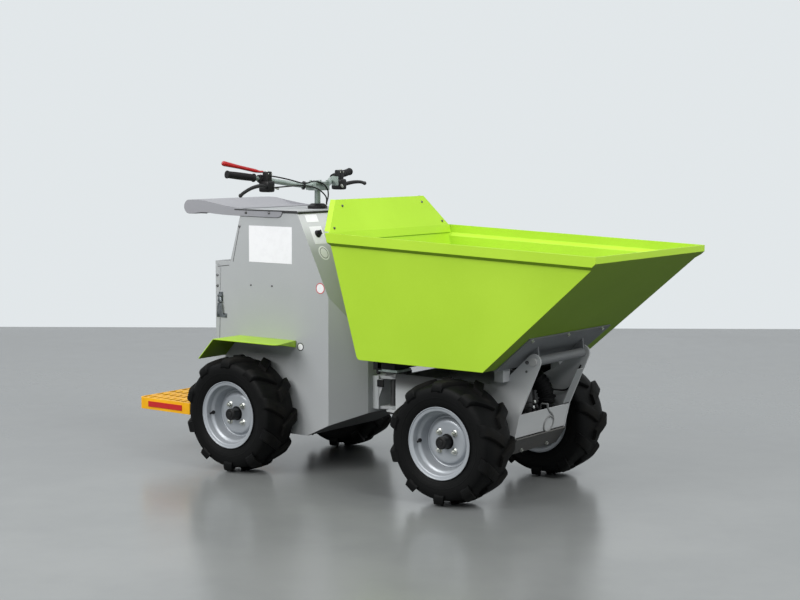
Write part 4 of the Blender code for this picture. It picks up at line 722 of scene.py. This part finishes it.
FOLD_LINES = (  # (width, start, end) on the body's side, in (x, z)
    (0.003, (-0.662, 1.02), (-0.698, 0.874)),
    (0.003, (-0.723, 0.856), (-0.786, 0.848)),
    (0.0026, (-0.7765, 0.624), (-0.78, 0.53)),
    (0.0014, (-0.77, 0.844), (-0.7745, 0.744)),
)
BODY_BOLTS = (  # (radius, half width there, x, z)
    (0.006, 0.2435, -0.6198, 1.0861), (0.006, 0.2435, -0.4905, 1.0886),
    (0.0042, BODY_SIDE, -0.597, 0.7768), (0.0042, BODY_SIDE, -0.4788, 0.779),
    (0.006, BODY_SIDE, -0.6602, 1.0259), (0.006, BODY_SIDE, -0.7895, 0.8104), (0.006, BODY_SIDE, -0.7895, 0.7636),
)
RIGHTWARD = (0, -1, 0)
WARNING_DISC = (-0.2156, -BODY_SIDE, 0.7832)
ROUND_TAG = (-0.3231, -BODY_SIDE, 0.5313)
LEAN_FACING = Vector((0.9, 0, 0.4356))
LEAN_SLOPE = 0.485  # forward for each metre down
LEAN_TOP = (-0.3387, 1.09)  # (x, z)
BADGE = (-0.1621, 0.9245)  # (y, z) on the lean
SWITCH = (-0.1583, 1.0026)


def seam(shape, start, end, side, width):
    """A thin line on the body's side, between two (x, z) points."""
    start, end = Vector(start), Vector(end)
    along = (end - start).normalized() * width / 2
    aside = Vector((-along.y, along.x))
    corners = (start - along + aside, end + along + aside, end + along - aside, start - along - aside)
    closed(shape, [[(corner.x, side * (BODY_SIDE + out), corner.y) for corner in corners]
                   for out in (-SUNK, 0.00035)])


def disc(shape, where, axis, radius, thickness=0.0006, sides=40):
    turned(shape, [(radius, -SUNK), (radius, thickness * 0.7), (radius - thickness * 0.4, thickness)], sides,
           where, axis)


def hoop(shape, where, axis, radius, width, thickness, sides=40):
    before = set(shape.verts)
    closed_ring(shape, [ring_of(out, height, sides) for out, height in (
        (radius, -SUNK), (radius, thickness), (radius - width, thickness), (radius - width, -SUNK))])
    put(shape, before, where, axis)


def on_lean(y, z, out=0):
    """A point on the leaning front of the body."""
    return Vector((LEAN_TOP[0] + (LEAN_TOP[1] - z) * LEAN_SLOPE, y, z)) + LEAN_FACING * out


def leaning_plate(shape, y0, y1, z0, z1, under=-SUNK, over=0.0007):
    corners = ((y0, z0), (y1, z0), (y1, z1), (y0, z1))
    closed(shape, [[on_lean(y, z, out) for y, z in corners] for out in (under, over)])


def body_lines_and_bolts():
    shape = bmesh.new()
    for side in SIDES:
        for width, start, end in FOLD_LINES:
            seam(shape, start, end, side, width)
    piece("folded_edge_lines", shape, seam_dark, "rear_half")

    shape = bmesh.new()
    for side in SIDES:
        for radius, half_width, x, z in BODY_BOLTS:
            dome_bolt(shape, (x, side * half_width, z), (0, side, 0), radius)
    piece("body_bolts", shape, dull_zinc, "rear_half")


def blank_labels():
    """The plates, badge and discs that carry print on the machine, left blank."""
    shape = bmesh.new()
    for side in SIDES:
        plate(shape, (-0.6065, side * (BODY_SIDE - 0.0003), 0.877), (-0.3685, side * (BODY_SIDE + 0.0007), 1.032))
    leaning_plate(shape, -0.198, -0.12, 1.052, 1.082)
    leaning_plate(shape, -0.196, -0.118, 0.962, 1.034)
    disc(shape, WARNING_DISC, RIGHTWARD, 0.0215)
    disc(shape, ROUND_TAG, RIGHTWARD, 0.0165)
    piece("blank_plates", shape, white_label, "rear_half")

    shape = bmesh.new()
    # the badge's plate is whiter than the others: painted light
    disc(shape, on_lean(*BADGE), LEAN_FACING, 0.032)
    piece("round_plate", shape, lightened_round_label, "rear_half")

    shape = bmesh.new()
    hoop(shape, WARNING_DISC, RIGHTWARD, 0.0225, 0.0032, 0.001)
    piece("red_hoop", shape, red_label, "rear_half")

    shape = bmesh.new()
    hoop(shape, ROUND_TAG, RIGHTWARD, 0.0172, 0.0036, 0.001)
    hoop(shape, on_lean(*BADGE), LEAN_FACING, 0.0245, 0.0022, 0.001)
    piece("dark_hoops", shape, black_gasket, "rear_half")


def key_switch():
    shape = bmesh.new()
    y, z = SWITCH
    turned(shape, [(0.0165, -0.0005), (0.0165, 0.003), (0.014, 0.0052), (0.0135, 0.01), (0.0118, 0.0112)], 28,
           on_lean(y, z), LEAN_FACING)
    leaning_plate(shape, y - 0.0022, y + 0.0022, z - 0.009, z + 0.009, 0.01, 0.024)
    piece("key_switch", shape, black_plastic, "rear_half")


def top_seal():
    """Black seal under the edge of the top plate."""
    low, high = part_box("top_plate")
    shape = bmesh.new()
    below, above = low.z - 0.001, low.z + 0.006
    outside, inside = 0.0016, -0.004
    closed_ring(shape, [[(x, y, z) for x, y in (
        (low.x - out, low.y - out), (high.x + out, low.y - out),
        (high.x + out, high.y + out), (low.x - out, high.y + out))]
        for out, z in ((outside, below), (outside, above), (inside, above), (inside, below))])
    piece("top_seal", shape, black_gasket, "rear_half")


def toggle_latch():
    """Draw latch at the door's edge: foot, strike, lever and its two wires."""
    shape = bmesh.new()
    x, y = -0.7695, -BODY_SIDE
    plate(shape, (x - 0.011, y - 0.003, 0.7), (x + 0.011, y + 0.0003, 0.738))
    plate(shape, (x - 0.024, y - 0.003, 0.628), (x + 0.034, y + 0.0003, 0.645))
    lever = smooth_path([(x + dx, y - out, z) for dx, out, z in (
        (0, 0.006, 0.722), (0.001, 0.011, 0.7), (0.001, 0.012, 0.668), (0.001, 0.01, 0.64))])
    swept(shape, lever, lambda share: (0.0075 + 0.011 * share, 0.0028))
    for dx in (-0.0065, 0.0065):
        swept(shape, [(x + dx, y - 0.0075, 0.64), (x + dx, y - 0.009, 0.676), (x + dx * 0.8, y - 0.008, 0.708)],
              lambda share: 0.0019)
    turned(shape, [(0.0058, -0.012), (0.0058, 0.012)], 18, (x, y - 0.0062, 0.722), (1, 0, 0))
    for dx in (-0.018, 0.027):
        dome_bolt(shape, (x + dx, y - 0.003, 0.6365), RIGHTWARD, 0.0032)
    piece("toggle_latch", shape, latch_steel, "rear_half")


body_lines_and_bolts()
blank_labels()
key_switch()
top_seal()
toggle_latch()


# Bolts of the skip, hinge plate and front frame

def front_bolts():
    shape = bmesh.new()
    guard_facing = (0.9123, 0, 0.4094)
    for y, z in ((0.2773, 1.13), (0.3773, 1.045)):
        for side in SIDES:
            dome_bolt(shape, (-0.0248 - (z - 1.029) * 0.4488, side * y, z), guard_facing, 0.0056)
    piece("guard_bolts", shape, dull_zinc, "tipping_skip")

    shape = bmesh.new()
    for y in (-0.285, -0.02, 0.245):
        hex_bolt(shape, (0.8425, y, 0.6489), (0.656, 0, -0.755), 0.011)
    piece("hinge_plate_bolts", shape, fastener_zinc, "tipping_skip", 30)

    shape = bmesh.new()
    for side in SIDES:
        dome_bolt(shape, (0.7622, side * 0.19, 0.5493), (0, side, 0), 0.0075)
        turned(shape, [(0.005, -0.0005), (0.005, 0.0014), (0.0035, 0.002)], 16,
               (0.76, side * 0.19, 0.5139), (0, side, 0))
    piece("upright_bolts", shape, dull_zinc, "front_half")

    shape = bmesh.new()
    for side in SIDES:
        hex_bolt(shape, (0.68, side * 0.095, 0.1868), (0.824, 0, -0.567), 0.011)
    piece("skid_bolts", shape, fastener_zinc, "front_half", 30)


front_bolts()


# Shelf behind the handlebars, in (x, z)

SHELF_LINE = [
    (-0.645, 1.1028), (-0.7, 1.1028), (-0.74, 1.1032), (-0.77, 1.1042), (-0.812, 1.118), (-0.853, 1.1305),
    (-0.9, 1.1335), (-0.94, 1.1325),
]
SHELF_ROLL = Vector((-0.951, 1.103))
SHELF_ROLL_RADIUS = 0.0295
SHELF_LIP = (-0.918, 1.0745)
SHELF_FLANGE = [
    (-0.6, 1.0998), (-0.4215, 1.0998), (-0.42, 1.0895), (-0.4245, 1.08), (-0.4335, 1.0728), (-0.448, 1.0698),
    (-0.651, 1.071), (-0.737, 1.0728), (-0.8, 1.0762), (-0.843, 1.08), (-0.88, 1.08), (-0.915, 1.0755),
]
SHELF_FLANGE_TOP = [
    (-0.944, 1.1328), (-0.9, 1.1345), (-0.854, 1.1315), (-0.795, 1.1215), (-0.737, 1.1132), (-0.6733, 1.106),
]
LAP_LINE = [
    (-0.4223, 1.0968), (-0.4206, 1.087), (-0.425, 1.0792), (-0.433, 1.0722), (-0.4468, 1.0695), (-0.6478, 1.0707),
]


def round_the_roll(radius, turns):
    return [(SHELF_ROLL.x + radius * cos(radians(turn)), SHELF_ROLL.y + radius * sin(radians(turn))) for turn in turns]


def rolled_shelf():
    """An upswept sheet with a rolled rear edge, between two side flanges."""
    shape = bmesh.new()
    roll = round_the_roll(SHELF_ROLL_RADIUS, range(90, 285, 12))
    ribbon(shape, smooth_path(SHELF_LINE, 5) + roll + [SHELF_LIP], 0.003, -0.2402, 0.2402)
    outline = SHELF_FLANGE + round_the_roll(SHELF_ROLL_RADIUS + 0.0012, range(268, 90, -12)) + SHELF_FLANGE_TOP
    for side in SIDES:
        slab(shape, outline, side * 0.2403, side * 0.2437)
    return piece("rolled_shelf", shape, shaded_shelf_paint, "rear_half", 30)


def shelf_trim():
    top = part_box("top_plate")[1].z
    shape = bmesh.new()
    for side in SIDES:
        plate(shape, (-0.685, side * 0.2405, 1.0955), (-0.34, side * 0.2447, top - 0.0004))
        plate(shape, (-0.942, side * 0.2385, 1.0752), (-0.848, side * 0.2402, 1.0835))
    piece("shelf_edge_seal", shape, black_gasket, "rear_half")

    shape = bmesh.new()
    for side in SIDES:
        for start, end in zip(LAP_LINE, LAP_LINE[1:]):
            swept(shape, [(x, side * 0.2406, z) for x, z in (start, end)], lambda share: 0.0016)
    piece("shelf_lap_line", shape, seam_dark, "rear_half", 60)


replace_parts(rolled_shelf(), "rear_shelf")
shelf_trim()


# Between the two halves

GUSSET = [(-0.11, 0.3965), (-0.033, 0.3965), (-0.033, 0.364), (-0.064, 0.283), (-0.11, 0.283)]


def hitch_trim():
    """Rubber bar that the skip rests on, its channel, and the hitch's gussets with their stops."""
    low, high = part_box("rest_bar")
    shape = bmesh.new()
    plate(shape, (low.x - 0.006, low.y - 0.004, low.z + 0.026), (high.x, high.y + 0.004, high.z))
    plate(shape, (low.x - 0.028, low.y - 0.004, low.z + 0.02), (low.x + 0.012, low.y + 0.036, high.z - 0.002))
    turned(shape, [(0.007, 0.0), (0.009, 0.003), (0.009, 0.016), (0.006, 0.02)], 14,
           (low.x - 0.012, low.y + 0.01, low.z + 0.021), (0, 0, -1))
    for y in (-0.16, 0.16):
        plate(shape, (low.x + 0.004, y - 0.02, low.z), (high.x - 0.004, y + 0.02, low.z + 0.0145))
    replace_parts(piece("rubber_rest_bar", shape, soft_rubber, "front_half"), "rest_bar")

    shape = bmesh.new()
    for near, far in ((-0.262, -0.165), (0.165, 0.262)):
        plate(shape, (low.x - 0.004, near, low.z + 0.015), (high.x + 0.01, far, low.z + 0.0255))
    piece("rest_bar_channel", shape, zinc, "front_half")

    shape = bmesh.new()
    for near, far in ((-0.053, -0.049), (0.049, 0.053)):
        slab(shape, GUSSET, near, far)
    piece("hitch_gussets", shape, grey, "rear_half")

    shape = bmesh.new()
    for near, far in ((-0.06, -0.0535), (0.0535, 0.06)):
        plate(shape, (-0.056, near, 0.366), (-0.024, far, 0.395))
    piece("hitch_stops", shape, soft_rubber, "rear_half")


hitch_trim()


# Wiring and motor in the front frame

GAITER_LINE = [
    (0.648, 0.052, 0.462), (0.66, 0.074, 0.425), (0.668, 0.086, 0.388), (0.668, 0.082, 0.352), (0.66, 0.072, 0.33),
]
HOSE_LINE = [
    (0.6, 0.096, 0.448), (0.606, 0.04, 0.462), (0.602, -0.04, 0.458), (0.594, -0.11, 0.438), (0.588, -0.15, 0.4),
]
MOTOR_LOOP = [
    (0.64, 0.118, 0.318), (0.655, 0.075, 0.3), (0.662, 0.045, 0.318), (0.668, 0.04, 0.345), (0.664, 0.06, 0.368),
    (0.65, 0.09, 0.374),
]
UPRIGHT_CABLE = [
    (0.788, 0.1765, 0.502), (0.77, 0.1765, 0.468), (0.744, 0.176, 0.418), (0.732, 0.173, 0.402),
    (0.718, 0.16, 0.396), (0.7, 0.14, 0.398), (0.67, 0.128, 0.4),
]
CABLE_SHEATH = [(0.0075, 0.0), (0.0095, 0.002), (0.0095, 0.02), (0.007, 0.023), (0.007, 0.034), (0.0045, 0.036)]
CABLE_ENDS = (  # (where its gland sits, which way the sheath points, the rest of the cable's line)
    ((0.701, -0.03, 0.362), (0.2, 0.35, -1),
     ((0.695, -0.06, 0.372), (0.675, -0.1, 0.364), (0.65, -0.14, 0.35))),
    ((0.706, -0.045, 0.343), (0.1, -0.2, -1),
     ((0.695, -0.07, 0.356), (0.67, -0.11, 0.35), (0.64, -0.15, 0.34))),
)
EARTH_LOOP = (  # (y, z) on the front of the cross-member
    (0.012, 0.36), (0.022, 0.342), (0.04, 0.327), (0.066, 0.311), (0.086, 0.286), (0.084, 0.259), (0.064, 0.244),
    (0.04, 0.245), (0.021, 0.262), (0.019, 0.286), (0.034, 0.303), (0.056, 0.306), (0.076, 0.296),
)


def motor_gaiter():
    """Folded rubber gaiter with the hose and the loop beside it."""
    shape = bmesh.new()
    path = smooth_path(GAITER_LINE, 9)
    last = len(path) - 1

    def fold(share):
        k = round(share * last)
        radius = 0.038 + 0.01 * sin(pi * k / last) + (0.0032 if k % 4 < 2 else -0.0015)
        return radius, radius * 0.86

    swept(shape, path, fold)
    wire(shape, HOSE_LINE, 0.0065)
    wire(shape, MOTOR_LOOP, 0.005)
    piece("motor_gaiter", shape, sooty_rubber, "front_half", 45)


def front_wiring():
    shape = bmesh.new()
    wire(shape, UPRIGHT_CABLE, 0.0036)
    for where, along, line in CABLE_ENDS:
        turned(shape, CABLE_SHEATH, 14, where, along)
    for (x, y, z), along, line in CABLE_ENDS:
        wire(shape, [(x, y, z + 0.001), *line], 0.0034)
    piece("front_cables", shape, black_plastic, "front_half", 45)

    shape = bmesh.new()
    for where in ((0.7005, -0.0285, 0.366), (0.706, -0.046, 0.347)):
        turned(shape, [(0.006, 0.0), (0.0068, 0.002), (0.0068, 0.009), (0.0052, 0.012)], 6, where, (-0.2, -0.2, 1))
    piece("cable_glands", shape, fastener_zinc, "front_half", 30)

    shape = bmesh.new()
    loop = [(0.719 - 0.004 + 0.23 * (z - 0.2777), y, z) for y, z in EARTH_LOOP]
    wire(shape, loop, 0.0044)
    wire(shape, [loop[0], (0.707, 0.011, 0.358), (0.698, 0.018, 0.34), (0.69, 0.03, 0.324)], 0.0034)
    piece("earth_wire", shape, grey_wire, "front_half", 60)


def frame_edges():
    """Flange of the left upright, and the skid's edge worn bright."""
    shape = bmesh.new()
    slab(shape, [(0.7925, 0.49), (0.797, 0.488), (0.734, 0.347), (0.7295, 0.349)], 0.135, 0.1822)
    piece("upright_flange", shape, grey, "front_half")

    shape = bmesh.new()
    swept(shape, [(0.6688, y, 0.1772) for y in (-0.183, -0.06, 0.06, 0.183)], lambda share: 0.0017)
    piece("skid_worn_edge", shape, fastener_zinc, "front_half", 60)


motor_gaiter()
front_wiring()
frame_edges()


# Handlebar's fittings

CLAMP_MIDDLE = -0.417  # x of the clamp on the steering column


def bar_fittings():
    shape = bmesh.new()
    for bottom, top in ((1.18, 1.196), (1.2065, 1.2165)):
        plate(shape, (-0.442, -0.042, bottom), (-0.392, 0.042, top))
    for dx in (-0.019, 0.019):
        for y in (-0.033, 0.033):
            hex_bolt(shape, (CLAMP_MIDDLE + dx, y, 1.2165), (0, 0, 1), 0.01)
            turned(shape, [(0.0033, -0.001), (0.0033, 0.012)], 10, (CLAMP_MIDDLE + dx, y, 1.1958), (0, 0, 1))
    slab(shape, [(-0.478, 1.196), (-0.442, 1.196), (-0.442, 1.236), (-0.478, 1.236)], 0.164, 0.1672)
    piece("bar_clamp", shape, zinc, "handlebars", 30)

    shape = bmesh.new()
    hoop(shape, (-0.433, -0.078, 1.2016), (-0.535, -0.833, 0.141), 0.0182, 0.0052, 0.008, 24)
    piece("cable_ties", shape, black_plastic, "handlebars")


LEVER_LINE = [  # (forward, outboard, up) from the start of the grip
    (0.0422, -0.0442, -0.0434), (0.0558, -0.0069, -0.035), (0.062, 0.0386, -0.0322), (0.0608, 0.0856, -0.0406),
    (0.0527, 0.1214, -0.0574), (0.0471, 0.138, -0.07),
]
PERCH_BLOCKS = (  # (one corner, the other, bevel), as (forward, outboard, up) from the clamp's middle
    ((-0.006, -0.021, -0.054), (0.053, 0.023, -0.006), 0.011),
    ((0.01, -0.015, -0.01), (0.041, 0.015, 0.0335), 0.006),
    ((-0.012, 0.015, -0.012), (0.012, 0.024, 0.019), 0.003),
)
CLAMP_FROM_GRIP = 0.042
DROOP = {"right": 1.0, "left": 0.55}  # the left lever is set higher
ADJUSTER = [(0.005, 0.0), (0.0058, 0.0015), (0.0058, 0.006), (0.0036, 0.007), (0.0036, 0.013), (0.0047, 0.014),
            (0.0047, 0.024), (0.0034, 0.026)]


def brake_set(hand, side):
    """Clamp, perch with its box, curved lever with a ball end, and the cable's adjuster."""
    x, y, z = GRIP_START
    grip_start = Vector((x, side * y, z))
    inward = Vector((0.344, -side * 0.926, -0.153))
    middle = grip_start + inward * CLAMP_FROM_GRIP

    def at(forward, outboard, up):
        return middle + Vector((forward, side * outboard, up))

    shape = bmesh.new()
    turned(shape, [(0.0172, -0.016), (0.0188, -0.0145), (0.0188, 0.0145), (0.0172, 0.016)], 26, middle, inward)
    for one, other, bevel in PERCH_BLOCKS:
        rounded_block(shape, at(*one), at(*other), bevel)
    droop = DROOP[hand]
    root = LEVER_LINE[0][2]
    line = []
    for k, (forward, outboard, up) in enumerate(LEVER_LINE):
        raised = root + (up - root) * droop + (1 - droop) * 0.01 * k
        line.append(grip_start + Vector((forward, side * outboard, raised)))
    blade = smooth_path(line, 7)
    swept(shape, blade, lambda share: (0.01 - 0.0024 * min(1, share * 1.5), 0.0096 - 0.0024 * min(1, share * 1.5)))
    ball = [(0.0088 * sin(radians(turn)), -0.0088 * cos(radians(turn))) for turn in (12, 35, 60, 90, 120, 145, 168)]
    turned(shape, ball, 18, blade[-1], blade[-1] - blade[-2])
    made = piece(f"brake_set_{hand}", shape, black_plastic, "handlebars", 40)
    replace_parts(made, f"brake_lever_{hand}")

    shape = bmesh.new()
    turned(shape, ADJUSTER, 16, at(0.048, -0.012, -0.033), (0.75, -side * 0.6, -0.3))
    for outboard in (-0.01, 0.01):
        dome_bolt(shape, at(0.041, outboard, 0.024), (1, 0, 0), 0.003)
    dome_bolt(shape, at(0.03, 0.004, 0.0335), (0, 0, 1), 0.0052)
    piece(f"lever_screws_{hand}", shape, fastener_zinc, "handlebars")


RIBS = 22  # along each grip
GRIP_RADIUS = 0.0148
INNER_COLLAR = (0.04, 0.0182)  # (share of the grip it ends at, radius)
OUTER_COLLAR = (0.965, 0.017)


def grip(name, side):
    """Ribbed rubber grip, swollen in the middle, with a collar at each end."""
    start, end = (Vector((x, side * y, z)) for x, y, z in (GRIP_START, GRIP_END))
    total = RIBS * 4

    def section(share):
        if share < INNER_COLLAR[0]:
            return INNER_COLLAR[1]
        if share > OUTER_COLLAR[0]:
            return OUTER_COLLAR[1]
        grooved = round(share * total) % 4 in (0, 1) and 0.08 < share < 0.94
        return GRIP_RADIUS + 0.0012 * sin(pi * share) - (0.0009 if grooved else 0.0)

    shape = bmesh.new()
    swept(shape, [start + (end - start) * (k / total) for k in range(total + 1)], section)
    return piece(name, shape, soft_rubber, "handlebars", 50)


bar_fittings()
for hand, side in HANDS:
    brake_set(hand, side)
for hand, side in HANDS:
    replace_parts(grip(f"ribbed_grip_{hand}", side), f"grip_{hand}")


# Floor, backdrop, lights and camera

CAMERA_PLACE = Vector((4.0595, -5.517, 1.403))
CAMERA_HEADING = radians(126.223)
CAMERA_PITCH = radians(-5.614)
CAMERA_ROLL = radians(0.163)
FOCAL_PIXELS = 1643.3
IMAGE_WIDTH = 800
FLOOR_BACK, FLOOR_FRONT, FLOOR_HALF_WIDTH = -5.3, 9, 12
DAYLIGHT = (1, 0.99, 0.97)
LAMPS = (  # (name, where, where it points, size, power, colour, seen in reflections)
    ("ceiling_panel", (0, -0.6, 4.5), (0, -0.6, 0), 8, 140, DAYLIGHT, True),
    ("side_panel", (-1.2, -5.2, 4), (0, 0, 0.6), 3.4, 275, DAYLIGHT, True),
    ("fill_panel", (2.8, -5.2, 3.8), (-0.2, 0, 0.9), 1.8, 80, (1, 0.99, 0.98), False),
    ("front_panel", (4.6, -0.6, 5), (0, 0, 0.9), 2.8, 300, DAYLIGHT, False),
)


def floor_finish():
    ground = Finish("pale floor", specular_ior_level=0.5)
    cloud = ground.noise(0.9, 5, 0.6)
    fine = ground.noise(11, 4, 0.6)
    ground.colour(ground.mix(cloud.between(0.3, 0.7), (0.16, 0.17, 0.173), (0.196, 0.206, 0.208)))
    ground.rough(cloud * 0.1 + fine * 0.04 + 0.15)
    ground.bump(fine, 0.0004, 0.15)
    return ground


def floor():
    """A flat floor that ends behind the machine, square to the camera's heading."""
    mesh = bpy.data.meshes.new("floor")
    corners = [(x, side * FLOOR_HALF_WIDTH, 0) for x in (FLOOR_BACK, FLOOR_FRONT) for side in SIDES]
    mesh.from_pydata(corners, [], [(0, 2, 3, 1)])
    mesh.polygons[0].use_smooth = True
    mesh.materials.append(floor_finish().material)
    ground = shown("floor", mesh)
    ground.rotation_euler = (0, 0, CAMERA_HEADING - pi)


def air():
    """A plain level of light, behind a pale backdrop that only the camera and reflections see."""
    world = bpy.data.worlds.new("studio air")
    world.use_nodes = True
    tree = world.node_tree
    level = tree.nodes["Background"]
    seen = tree.nodes.new("ShaderNodeBackground")
    for light, colour, strength in ((level, (0.93, 0.96, 1, 1), 0.17), (seen, (0.76, 0.8, 0.82, 1), 1)):
        light.inputs["Color"].default_value = colour
        light.inputs["Strength"].default_value = strength
    path = tree.nodes.new("ShaderNodeLightPath")
    pick = tree.nodes.new("ShaderNodeMixShader")
    either = tree.nodes.new("ShaderNodeMath")
    either.operation = "MAXIMUM"
    for source, target in (
        (path.outputs["Is Camera Ray"], either.inputs[0]), (path.outputs["Is Glossy Ray"], either.inputs[1]),
        (either.outputs[0], pick.inputs[0]), (level.outputs[0], pick.inputs[1]), (seen.outputs[0], pick.inputs[2]),
        (pick.outputs[0], tree.nodes["World Output"].inputs["Surface"]),
    ):
        tree.links.new(source, target)
    bpy.context.scene.world = world


def lamps():
    for name, where, target, size, power, colour, reflected in LAMPS:
        lamp = bpy.data.lights.new(name, "AREA")
        lamp.shape = "SQUARE"
        lamp.size = size
        lamp.energy = power
        lamp.color = colour
        made = shown(name, lamp)
        made.location = where
        made.rotation_mode = "QUATERNION"
        made.rotation_quaternion = (Vector(target) - Vector(where)).to_track_quat("-Z", "Y")
        made.visible_glossy = reflected


def photo_camera():
    """The camera, where the photo was taken."""
    lens = bpy.data.cameras.new("camera")
    lens.sensor_width = 36
    lens.lens = FOCAL_PIXELS / IMAGE_WIDTH * lens.sensor_width
    lens.clip_end = 60
    camera = shown("camera", lens)
    camera.location = CAMERA_PLACE
    turn = Matrix.Identity(3)
    for angle, axis in ((CAMERA_HEADING - pi / 2, "Z"), (CAMERA_PITCH + pi / 2, "X"), (CAMERA_ROLL, "Z")):
        turn @= Matrix.Rotation(angle, 3, axis)
    camera.rotation_mode = "QUATERNION"
    camera.rotation_quaternion = turn.to_quaternion()
    bpy.context.scene.camera = camera
    bpy.context.scene.view_settings.view_transform = "Standard"


floor()
air()
lamps()
photo_camera()
